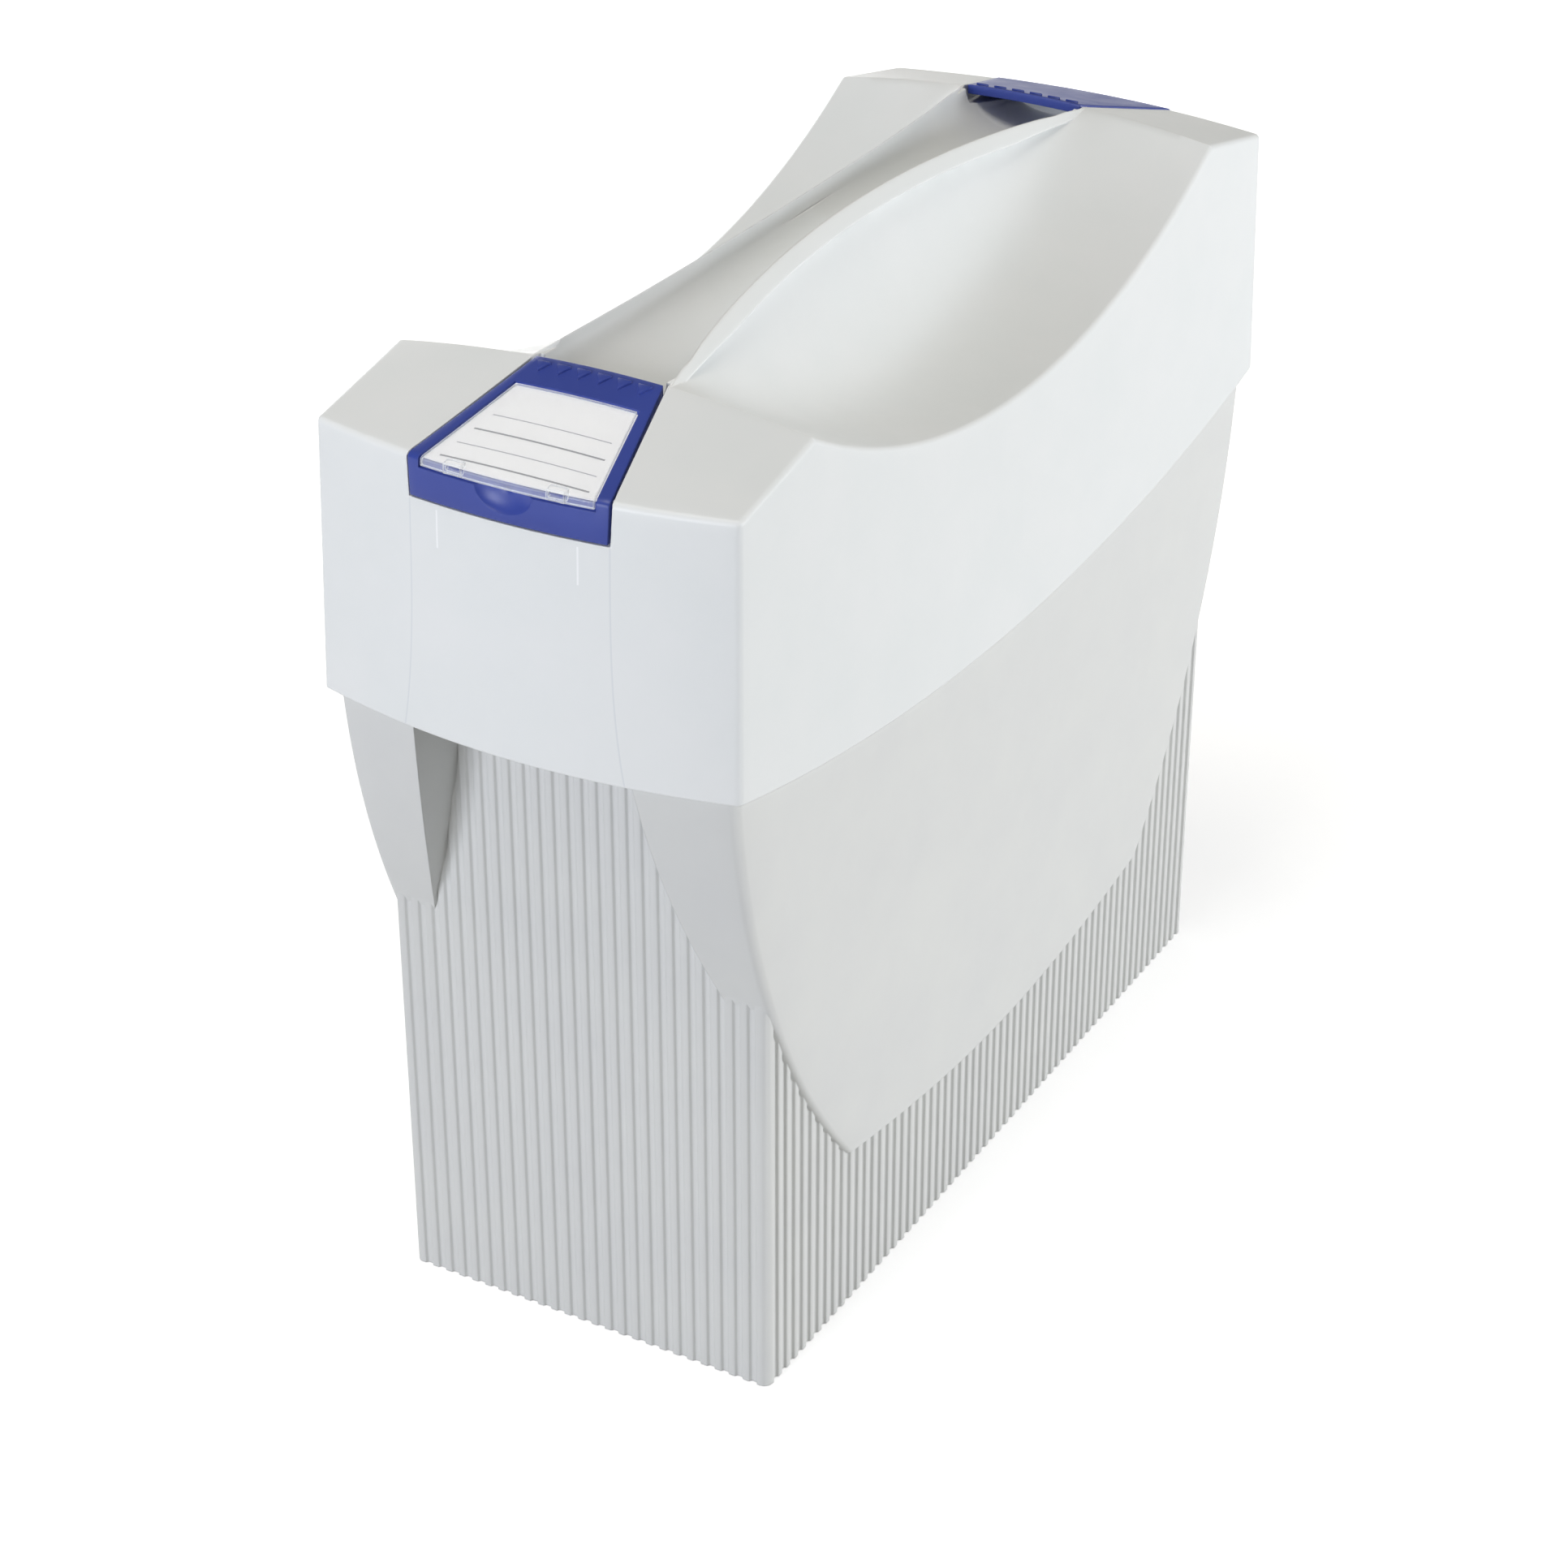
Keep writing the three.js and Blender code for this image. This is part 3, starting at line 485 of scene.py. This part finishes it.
def folded(name, end, start, inner_half, fold_half, hem_half, hem_z, rise, depth, skirt, bend):
    """A sloping plate over one end that folds down over the end face: a latch, its recess or the flap.
    Stations run from 0 at the inner edge to 1 at the bend, 2 past it and 3 at the hem."""
    bend_share = 0.96

    def lerp(p, q, share):
        return tuple(mix(a, b, share) for a, b in zip(p, q))

    def top_point(share, side, outer):
        y = side * mix(inner_half, fold_half, share)
        x = min(mix(start, fold_x(y), share), fold_x(y) + rise - (0 if outer else skirt))
        return x, y, block_height(x, y) + rise - (0 if outer else depth(x))

    def skin(side, outer):
        """The corner of the fold, the point where the bend ends, and the hem."""
        y_fold, y_hem = side * fold_half, side * hem_half
        corner_x, corner_z = fold_x(y_fold) + rise, fold_z + rise
        back, down = (0, 0) if outer else (skirt, depth(fold_x(y_fold)))
        corner = (corner_x - back, y_fold, corner_z - down)
        y_below = mix(y_fold, y_hem, bend / (fold_z - hem_z))
        below = (corner_x + end_draft * bend - back, y_below, corner_z - bend)
        if below[2] >= corner[2]:
            below = (corner[0], corner[1], corner[2] - 0.05)
        hem = (fold_x(y_hem) + end_draft * (fold_z - hem_z) + rise - back, y_hem, hem_z)
        return corner, below, hem

    def place(station, side, outer):
        outer = outer > 0.5
        corner, below, hem = skin(side, outer)
        if station <= 1:
            x, y, z = top_point(station * bend_share, side, outer)
        elif station <= 2:
            share = station - 1
            first = top_point(bend_share, side, outer)
            x, y, z = lerp(lerp(first, corner, share), lerp(corner, below, share), share)
        else:
            x, y, z = lerp(below, hem, station - 2)
        return end * x, y, z

    stations = steps(0, 1, 14) + [1.25, 1.5, 1.75, 2, 2.5, 3]
    return shaped_box(name, stations, steps(-1, 1, 24), [0, 1], place)


def press_travel(x):
    return max(0, pivot_x - x) * press_slope


def recess_depth(x):
    return latch_plate - latch_proud + latch_gap + press_travel(x)


recess_skirt = latch_skirt - latch_proud + latch_gap


def latch_form(name, end, grow, start, rise, depth, skirt, bend=latch_bend):
    sizes = (latch_inner_half + grow, latch_fold_half + grow, latch_hem_half + grow, latch_hem_z - grow)
    return folded(name, end, start, *sizes, rise, depth, skirt, bend)


def pin(name, end, radius, reach):
    bpy.ops.object.select_all(action="DESELECT")
    bpy.ops.mesh.primitive_cylinder_add(
        vertices=24, radius=radius * MM, depth=2 * reach * MM, location=(0, 0, 0)
    )
    piece = bpy.context.object
    piece.name = name
    for vertex in piece.data.vertices:
        x, y, z = vertex.co
        vertex.co = (x + end * pivot_x * MM, z, y + pivot_z * MM)
    face_outward(piece)
    return piece


def make_lid():
    lid = hood("hood_lid", 0, lid_edge, 0, top_height, x_count=60, y_count=58)

    def underside(x, y):
        return min(top_height(x, abs(y) + lid_wall), top_height(x, y) - lid_wall)

    def housing_depth(x):
        return recess_depth(x) + lid_wall - housing_sunk

    def room_depth(x):
        return recess_depth(x) + clear_of

    hollow = hood("hood_hollow", lid_wall, hollow_edge, hollow_drop, underside, x_count=24, y_count=30)
    cut(hollow, trough(lid_wall, pocket_x + lid_wall, 24))
    cut(lid, hollow)
    seat_run = (seat_z, seat_z + seat_height)
    for end in (-1, 1):
        housing_skirt = recess_skirt + lid_wall - housing_sunk
        join(lid, latch_form(
            "housing", end, lid_wall, ridge_x - 0.5, -housing_sunk, housing_depth, housing_skirt
        ))
        rib_x = (end * pocket_x, end * (fold_x(guide_y) - guide_inset))
        for side in (-1, 1):
            rib_y = (side * (guide_y - guide_half), side * (guide_y + guide_half))
            join(lid, block("guide_rib", rib_x, rib_y, (pivot_z - guide_drop, guide_top_z)))
            seat_x = (end * end_seat_x, end * end_seat_out)
            seat_y = (side * end_seat_y - seat_half, side * end_seat_y + seat_half)
            join(lid, block("end_seat", seat_x, seat_y, seat_run))
    for side in (-1, 1):
        for x in (-side_seat_x, 0, side_seat_x):
            seat_y = (side * side_seat_y, side * side_seat_out)
            join(lid, block("side_seat", (x - seat_half, x + seat_half), seat_y, seat_run))
    for side in (-1, 1):
        join(lid, handle_rail(side))
    cut(lid, trough(0, pocket_x, 60, trough_lip))
    for end in (-1, 1):
        cut(lid, latch_form(
            "latch_room", end, latch_gap + press_slack, ridge_x - room_lead, clear_of, room_depth,
            recess_skirt + clear_of, sharp_bend,
        ))
        well_x = (end * (pocket_x + lid_wall), end * (fold_x(0) - recess_skirt - lid_wall - 1))
        cut(lid, block("latch_well", well_x, (-well_half, well_half), (rim_mid_z, ridge_crown_z)))
        cut(lid, pin("pin_hole", end, pin_radius + pin_gap, guide_y + 2 * guide_half))
    return smooth(lid)


# Latches and label


def grip_mark(end, y):
    """One small raised triangle that points outwards."""
    bpy.ops.object.select_all(action="DESELECT")
    bpy.ops.mesh.primitive_cylinder_add(
        vertices=3, radius=grip_radius * MM, depth=grip_height * MM, location=(0, 0, 0)
    )
    mark = bpy.context.object
    mark.name = "grip_mark"
    slope = (fold_z - ridge_crown_z) / (fold_x(0) - ridge_x)
    top_z = block_height(grip_x, y) + latch_proud + grip_proud
    for vertex in mark.data.vertices:
        across, along = vertex.co.x / MM, vertex.co.y / MM
        z = top_z - (grip_height if vertex.co.z < 0 else 0) + along * slope
        vertex.co = Vector((end * (grip_x + along), y + across, z)) * MM
    face_outward(mark)
    return round_edges(mark, 0.25)


def make_latch(name, end):
    latch = latch_form(name, end, 0, ridge_x + latch_gap, latch_proud, lambda x: latch_plate, latch_skirt)
    round_edges(latch, 0.45)
    all_x, all_z = (-far_out, far_out), (0, high_above)
    for side in (-1, 1):
        cheek_x = (end * (pivot_x - cheek_half_x), end * (pivot_x + cheek_half_x))
        cheek_z = (pivot_z - cheek_drop, block_height(pivot_x, 0) - latch_plate + 1)
        join(latch, block("cheek", cheek_x, (side * cheek_inner, side * cheek_outer), cheek_z))
        # the pin is cut to the stub that starts inside this side's cheek
        stub = pin("pin", end, pin_radius, guide_y + guide_half)
        cut(stub, block("between", all_x, (-side * (cheek_inner + 0.5), -side * far_out), all_z))
        cut(stub, block("middle", all_x, (-cheek_inner - 0.6, cheek_inner + 0.6), all_z))
        join(latch, stub)
    arm = (end * (arm_x - arm_half), end * (arm_x + arm_half))
    arm_top = block_height(arm_x, 0) - latch_plate + 1
    join(latch, block("arm", arm, (-arm_half_width, arm_half_width), (arm_foot_z, arm_top)))

    def nose_place(inward, y, up):
        x = arm_x - arm_half + mix(nose_root, -nose_reach, inward)
        return end * x, y, mix(arm_foot_z + nose_slope * inward, arm_foot_z + nose_height, up)

    join(latch, shaped_box("nose", [0, 1], [-arm_half_width, arm_half_width], [0, 1], nose_place))
    for i in range(grip_count):
        join(latch, grip_mark(end, (i - (grip_count - 1) / 2) * grip_pitch))
    return latch


def window_form(name, grow, top, thickness, bend=window_bend):
    """A shape in the label's window: its size over the window's, its top below the latch's, its thickness."""
    sizes = (window_x - grow, window_inner_half + grow, window_fold_half + grow, window_fold_half + grow)
    hem_z, rise = window_hem_z - grow, latch_proud - top
    return folded(name, -1, *sizes, hem_z, rise, lambda x: thickness, thickness, bend)


def make_front_latch():
    latch = make_latch("latch_front", -1)
    cut(latch, window_form("window_room", 0, -window_clear, window_depth + window_clear, sharp_bend))
    bpy.ops.object.select_all(action="DESELECT")
    bpy.ops.mesh.primitive_uv_sphere_add(segments=48, ring_count=24, radius=1, location=(0, 0, 0))
    scoop = bpy.context.object
    scoop.name = "thumb_scoop"
    middle = Vector((-(fold_x(0) + latch_proud + scoop_out), 0, window_hem_z + 1))
    for vertex in scoop.data.vertices:
        stretched = Vector([size * along for size, along in zip(scoop_size, vertex.co)])
        vertex.co = (stretched + middle) * MM
    face_outward(scoop)
    cut(latch, scoop)
    return smooth(latch)


def make_card():
    card = window_form("paper_label", -card_gap, card_drop, card_thickness, card_bend)

    def keep_place(along, y, up):
        return -along * (fold_x(abs(y)) - window_depth + card_gap), y, up * high_above

    keep_y = steps(-card_keep_half, card_keep_half, 24)
    return combine(card, shaped_box("card_end", [0, 1], keep_y, [0, 1], keep_place), "INTERSECT")


def make_flap():
    flap = window_form("clear_flap", -flap_gap, 0, flap_thickness)
    round_edges(flap, 0.25)
    for side in (-1, 1):

        def tab_place(out, y, up):
            x = fold_x(tab_mid_y) - tab_back + out * tab_length
            return -x, side * y, block_height(x, y) + latch_proud + mix(-tab_below, tab_above, up)

        tab = shaped_box("lock_tab", [0, 1], [tab_inner_y, tab_outer_y], [0, 1], tab_place)
        join(flap, round_edges(tab, 0.25))
    return smooth(flap)


# Materials


def colour(hex_text):
    """An sRGB colour such as D6D8D6 as linear red, green, blue and alpha."""
    parts = [int(hex_text[i : i + 2], 16) / 255 for i in (0, 2, 4)]
    return tuple(p / 12.92 if p <= 0.04045 else ((p + 0.055) / 1.055) ** 2.4 for p in parts) + (1.0,)


def node(material, kind, links=None, **settings):
    """Adds one shader node, sets its fields and sockets, and links sockets to other nodes' outputs."""
    made = material.node_tree.nodes.new(kind)
    for key, value in settings.items():
        if hasattr(made, key):
            setattr(made, key, value)
        else:
            made.inputs[key.replace("_", " ")].default_value = value
    for socket, output in (links or {}).items():
        material.node_tree.links.new(output, made.inputs[socket])
    return made


def new_material(name):
    material = bpy.data.materials.new(name)
    material.use_nodes = True
    material.node_tree.nodes.clear()
    return material


def calculate(material, operation, first, second=None, third=None):
    """One Math node between outputs and plain numbers."""
    made = material.node_tree.nodes.new("ShaderNodeMath")
    made.operation = operation
    for socket, value in enumerate((first, second, third)):
        if isinstance(value, (int, float)):
            made.inputs[socket].default_value = value
        elif value is not None:
            material.node_tree.links.new(value, made.inputs[socket])
    return made.outputs["Value"]


def blend(material, factor, under, over):
    """Lays one flat sRGB colour over another output's colour."""
    made = node(material, "ShaderNodeMix", {"Factor": factor, 6: under}, data_type="RGBA")
    made.inputs[7].default_value = colour(over)
    return made.outputs[2]


def edge_highlight_mask(material, rounded_normal, start, gain):
    """A mask for painted highlight lines along each edge, where the rounded normal leaves the flat one."""
    flat = node(material, "ShaderNodeNewGeometry").outputs["Normal"]
    lean = node(material, "ShaderNodeVectorMath", {0: rounded_normal, 1: flat}, operation="DOT_PRODUCT")
    past = calculate(material, "SUBTRACT", start, lean.outputs["Value"])
    return calculate(material, "MULTIPLY", past, gain)


def mould_lines_and_highlights(material, place, colour_in):
    """Faint witness lines that run down from the latch's corners on the lid's ends, and pale streaks that are
    painted highlights of sink marks over the guide ribs.
    """

    def maths(*terms):
        return calculate(material, *terms)

    axes = node(material, "ShaderNodeSeparateXYZ", {"Vector": place})
    across, height = maths("ABSOLUTE", axes.outputs["Y"]), axes.outputs["Z"]
    on_end = maths("GREATER_THAN", maths("ABSOLUTE", axes.outputs["X"]), witness_x * MM)
    down = maths("DIVIDE", maths("SUBTRACT", witness_bend_z * MM, height), witness_fall * MM)
    flare = maths("POWER", maths("MAXIMUM", down, 0.0), 3.0)
    curve = maths("MULTIPLY_ADD", flare, witness_flare * MM, witness_y * MM)
    line = maths("COMPARE", across, curve, witness_half * MM)
    line = maths("MULTIPLY", line, maths("LESS_THAN", height, witness_top_z * MM))
    line = maths("MULTIPLY", line, maths("MULTIPLY", on_end, 0.3))
    # painted highlights: short pale streaks where sink marks over the guide ribs catch the light
    sink_highlight = maths("COMPARE", across, sink_highlight_y * MM, sink_highlight_half * MM)
    sink_highlight = maths("MULTIPLY", sink_highlight, maths("COMPARE", height, sink_highlight_z * MM, sink_highlight_half_length * MM))
    sink_highlight = maths("MULTIPLY", sink_highlight, maths("MULTIPLY", on_end, 0.7))
    return blend(material, sink_highlight, blend(material, line, colour_in, "C3C9D0"), "FBFCFD")


def moulded_plastic(name, base, shade, roughness, edge, specular, marks=False, painted_edge_highlight=0.0):
    """Satin moulded plastic: fine spark-eroded grain, a slow drift of tone, soft edges and uneven gloss."""
    m = new_material(name)
    place = node(m, "ShaderNodeTexCoord").outputs["Object"]
    # slow drift of tone over a few centimetres, as thick and thin walls of one moulding show
    drift = node(m, "ShaderNodeTexNoise", {"Vector": place}, Scale=28.0, Detail=3.0, Roughness=0.55)
    tone = node(m, "ShaderNodeValToRGB", {"Fac": drift.outputs["Fac"]})
    tone.color_ramp.elements[0].position, tone.color_ramp.elements[0].color = 0.32, colour(shade)
    tone.color_ramp.elements[1].position, tone.color_ramp.elements[1].color = 0.68, colour(base)
    # grain of the mould's surface, about 0.4 mm, that breaks the highlight
    fine = node(m, "ShaderNodeTexNoise", {"Vector": place}, Scale=2400.0, Detail=2.0, Roughness=0.6)
    # rounded edges, which catch a thin highlight
    edges = node(m, "ShaderNodeBevel", samples=4, Radius=edge * MM)
    bump = node(
        m, "ShaderNodeBump", {"Height": fine.outputs["Fac"], "Normal": edges.outputs["Normal"]},
        Strength=0.25, Distance=0.02 * MM,
    )
    # faint rub and handling marks that vary the gloss
    rub = node(m, "ShaderNodeTexNoise", {"Vector": place}, Scale=90.0, Detail=4.0, Roughness=0.6)
    gloss = node(
        m, "ShaderNodeMapRange", {"Value": rub.outputs["Fac"]},
        From_Min=0.3, From_Max=0.7, To_Min=roughness - 0.04, To_Max=roughness + 0.05,
    )
    # witness lines, and painted highlights of sink marks
    surface = mould_lines_and_highlights(m, place, tone.outputs["Color"]) if marks else tone.outputs["Color"]
    if painted_edge_highlight:
        # painted highlight: a fine paler line along the edges, where they catch the light
        line = edge_highlight_mask(m, edges.outputs["Normal"], 0.998, 24.0)
        line = calculate(m, "MINIMUM", calculate(m, "MAXIMUM", line, 0.0), painted_edge_highlight)
        surface = blend(m, line, surface, "FEFEFE")
    shader = node(
        m, "ShaderNodeBsdfPrincipled",
        {"Base Color": surface, "Roughness": gloss.outputs["Result"], "Normal": bump.outputs["Normal"]},
        IOR=1.5, Specular_IOR_Level=specular,
    )
    node(m, "ShaderNodeOutputMaterial", {"Surface": shader.outputs["BSDF"]})
    return m


def paper_label():
    """Matt white card with four printed writing lines, faint fibres and a slight mottling."""
    m = new_material("white paper card with writing lines")
    place = node(m, "ShaderNodeTexCoord").outputs["Object"]
    axes = node(m, "ShaderNodeSeparateXYZ", {"Vector": place})
    across = calculate(m, "ABSOLUTE", axes.outputs["Y"])
    fibres = node(m, "ShaderNodeTexNoise", {"Vector": place}, Scale=900.0, Detail=4.0, Roughness=0.7)
    paper = node(m, "ShaderNodeMix", {"Factor": fibres.outputs["Fac"]}, data_type="RGBA")
    paper.inputs[6].default_value, paper.inputs[7].default_value = colour("E9E7E8"), colour("F3F2F2")
    surface = paper.outputs[2]
    # each line's distance from mid-length, half its run, half its width and its ink
    lines = (
        (165.4, 20.5, 0.22, "85858E"), (172.4, 22.5, 0.34, "3A3A46"),
        (179.3, 24.0, 0.22, "85858E"), (185.8, 25.6, 0.34, "3A3A46"),
    )
    for x, half_run, half_width, ink in lines:
        on_line = calculate(m, "COMPARE", axes.outputs["X"], -x * MM, half_width * MM)
        within = calculate(m, "LESS_THAN", across, half_run * MM)
        surface = blend(m, calculate(m, "MULTIPLY", on_line, within), surface, ink)
    bump = node(m, "ShaderNodeBump", {"Height": fibres.outputs["Fac"]}, Strength=0.2, Distance=0.03 * MM)
    shader = node(
        m, "ShaderNodeBsdfPrincipled", {"Base Color": surface, "Normal": bump.outputs["Normal"]},
        Roughness=0.85,
    )
    node(m, "ShaderNodeOutputMaterial", {"Surface": shader.outputs["BSDF"]})
    return m


def clear_sheet():
    """Clear glossy flap: the card shows through a faint milky veil, with painted highlights on its edges and
    grazing faces, and reflections.
    """
    m = new_material("clear glossy plastic sheet")
    place = node(m, "ShaderNodeTexCoord").outputs["Object"]
    ripple = node(m, "ShaderNodeTexNoise", {"Vector": place}, Scale=60.0, Detail=1.0)
    edges = node(m, "ShaderNodeBevel", samples=4, Radius=0.65 * MM)
    bump = node(
        m, "ShaderNodeBump", {"Height": ripple.outputs["Fac"], "Normal": edges.outputs["Normal"]},
        Strength=0.1, Distance=0.2 * MM,
    )
    rim = node(m, "ShaderNodeLayerWeight", Blend=0.35)
    # painted sheen: thin edges and grazing faces are painted whiter than the milky flat of the sheet
    veil = node(m, "ShaderNodeMapRange", {"Value": rim.outputs["Facing"]}, To_Min=0.04, To_Max=0.7)
    # painted highlight: cut edges are painted as fine white lines where they catch the light
    lines = edge_highlight_mask(m, edges.outputs["Normal"], 0.997, 30.0)
    cover = calculate(m, "MINIMUM", calculate(m, "MAXIMUM", veil.outputs["Result"], lines), 0.92)
    # light reaches the card through the sheet undimmed
    path = node(m, "ShaderNodeLightPath")
    lit = calculate(m, "SUBTRACT", 1.0, path.outputs["Is Shadow Ray"])
    cover = calculate(m, "MULTIPLY", cover, lit)
    shader = node(
        m, "ShaderNodeBsdfPrincipled", {"Normal": bump.outputs["Normal"], "Alpha": cover},
        Roughness=0.05, IOR=1.49, Base_Color=colour("F6FAFD"), Coat_Weight=0.6,
    )
    node(m, "ShaderNodeOutputMaterial", {"Surface": shader.outputs["BSDF"]})
    return m


def dress(piece, material):
    piece.data.materials.clear()
    piece.data.materials.append(material)


# Pieces

tub_grey = moulded_plastic(
    "satin light grey moulded plastic", "DBDCDA", "D8D9D8", roughness=0.46, edge=0.6, specular=0.4
)
lid_white = moulded_plastic(
    "satin pale grey moulded plastic", "E6E8E8", "E3E6E6", roughness=0.42, edge=0.7, specular=0.45,
    # painted highlights on the lid: fine lines along its edges, and pale streaks of sink marks on its ends
    marks=True, painted_edge_highlight=0.8,
)
latch_blue = moulded_plastic(
    "satin blue moulded plastic", "34469A", "304192", roughness=0.35, edge=0.5, specular=0.4
)

for made, replaced, body, slot, material in (
    (make_tub(), "tub", "tub", "tub_plastic", tub_grey),
    (make_lid(), "lid", "lid", "lid_plastic", lid_white),
    (make_front_latch(), "front_latch", "front_latch", "latch_plastic", latch_blue),
    (smooth(make_latch("latch_rear", 1)), "rear_latch", "rear_latch", "latch_plastic", latch_blue),
    (make_card(), "label_card", "front_latch", "label_paper", paper_label()),
    (make_flap(), "label_flap", "label_flap", "clear_plastic", clear_sheet()),
):
    dress(made, material)
    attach(made, body)
    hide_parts(replaced)

# Floor, light and camera


def make_floor():
    """Pale studio floor that runs back into the white surround and keeps the box's soft shadow.
    It looks white to the camera, and throws less light back up at the box than a white floor would."""
    bpy.ops.object.select_all(action="DESELECT")
    bpy.ops.mesh.primitive_plane_add(size=12, location=(0, 0, -0.2 * MM))
    floor = bpy.context.object
    floor.name = "studio_floor"
    m = new_material("matt white studio floor")
    path = node(m, "ShaderNodeLightPath").outputs
    seen = calculate(m, "MAXIMUM", path["Is Camera Ray"], path["Is Glossy Ray"])
    seen = calculate(m, "MAXIMUM", seen, path["Is Transmission Ray"])
    dim = node(
        m, "ShaderNodeBsdfPrincipled", Roughness=0.9, Base_Color=colour("B2B2B0"), Specular_IOR_Level=0.1
    )
    pale = node(m, "ShaderNodeBsdfDiffuse", Color=colour("E8E8E8"))
    # the floor fades into the white surround away from the box
    place = node(m, "ShaderNodeTexCoord").outputs["Object"]
    reach = node(m, "ShaderNodeVectorMath", {0: place}, operation="LENGTH")
    fade = node(
        m, "ShaderNodeMapRange", {"Value": reach.outputs["Value"]},
        From_Min=0.45, From_Max=1.5, To_Min=0.5, To_Max=1.0,
    )
    glow = node(m, "ShaderNodeEmission", {"Strength": fade.outputs["Result"]})
    lifted = node(m, "ShaderNodeAddShader", {0: pale.outputs["BSDF"], 1: glow.outputs["Emission"]})
    surface = node(m, "ShaderNodeMixShader", {0: seen, 1: dim.outputs["BSDF"], 2: lifted.outputs["Shader"]})
    node(m, "ShaderNodeOutputMaterial", {"Surface": surface.outputs["Shader"]})
    dress(floor, m)


def soft_lamp(name, place, target, size, power, tint):
    lamp = bpy.data.lights.new(name, "AREA")
    lamp.shape, lamp.size, lamp.energy, lamp.color = "SQUARE", size, power, colour(tint)[:3]
    holder = bpy.data.objects.new(name, lamp)
    bpy.context.scene.collection.objects.link(holder)
    holder.location = place
    holder.rotation_euler = (Vector(target) - Vector(place)).to_track_quat("-Z", "Y").to_euler()


def light_studio():
    """Soft light from the front, the right side, above and behind; the dim surround is seen as white."""
    middle = (0, 0, 0.2)
    for name, place, size, power, tint in (
        ("front_softbox", (-2.3, 0.4, 0.75), 1.0, 31, "F1F5FF"),
        ("right_softbox", (0.95, -2.3, 0.4), 1.0, 49, "FAFCFF"),
        ("overhead_softbox", (-0.5, 0.2, 2.4), 1.0, 18, "FFFAF0"),
        ("back_softbox", (1.9, 1.7, 0.6), 1.1, 18, "FBFCFF"),
    ):
        soft_lamp(name, place, middle, size, power, tint)
    world = bpy.data.worlds.new("white surround")
    bpy.context.scene.world = world
    world.use_nodes = True
    world.node_tree.nodes.clear()
    path = node(world, "ShaderNodeLightPath").outputs
    seen = calculate(world, "MAXIMUM", path["Is Camera Ray"], path["Is Transmission Ray"])
    glow = node(world, "ShaderNodeBackground", Strength=0.24, Color=colour("FFFDF8"))
    plain = node(world, "ShaderNodeBackground", Strength=1.0, Color=(1, 1, 1, 1))
    both = node(
        world, "ShaderNodeMixShader",
        {0: seen, 1: glow.outputs["Background"], 2: plain.outputs["Background"]},
    )
    node(world, "ShaderNodeOutputWorld", {"Surface": both.outputs["Shader"]})


def place_camera():
    """At the photograph's angle: 30 degrees round from the front end, looking 30 degrees down."""
    photo_width, focal_pixels = 1932, 4513.4
    yaw, pitch = math.radians(29.82), math.radians(29.91)
    lens = bpy.data.cameras.new("camera")
    lens.sensor_width = 36.0
    lens.lens = lens.sensor_width * focal_pixels / photo_width
    lens.clip_start, lens.clip_end = 0.05, 50
    camera = bpy.data.objects.new("camera", lens)
    bpy.context.scene.collection.objects.link(camera)
    camera.location = (-0.9752, -0.5417, 0.7686)
    forward = Vector((math.cos(pitch) * math.cos(yaw), math.cos(pitch) * math.sin(yaw), -math.sin(pitch)))
    camera.rotation_euler = forward.to_track_quat("-Z", "Y").to_euler()
    bpy.context.scene.camera = camera


make_floor()
light_studio()
place_camera()
bpy.context.scene.view_settings.view_transform = "Standard"
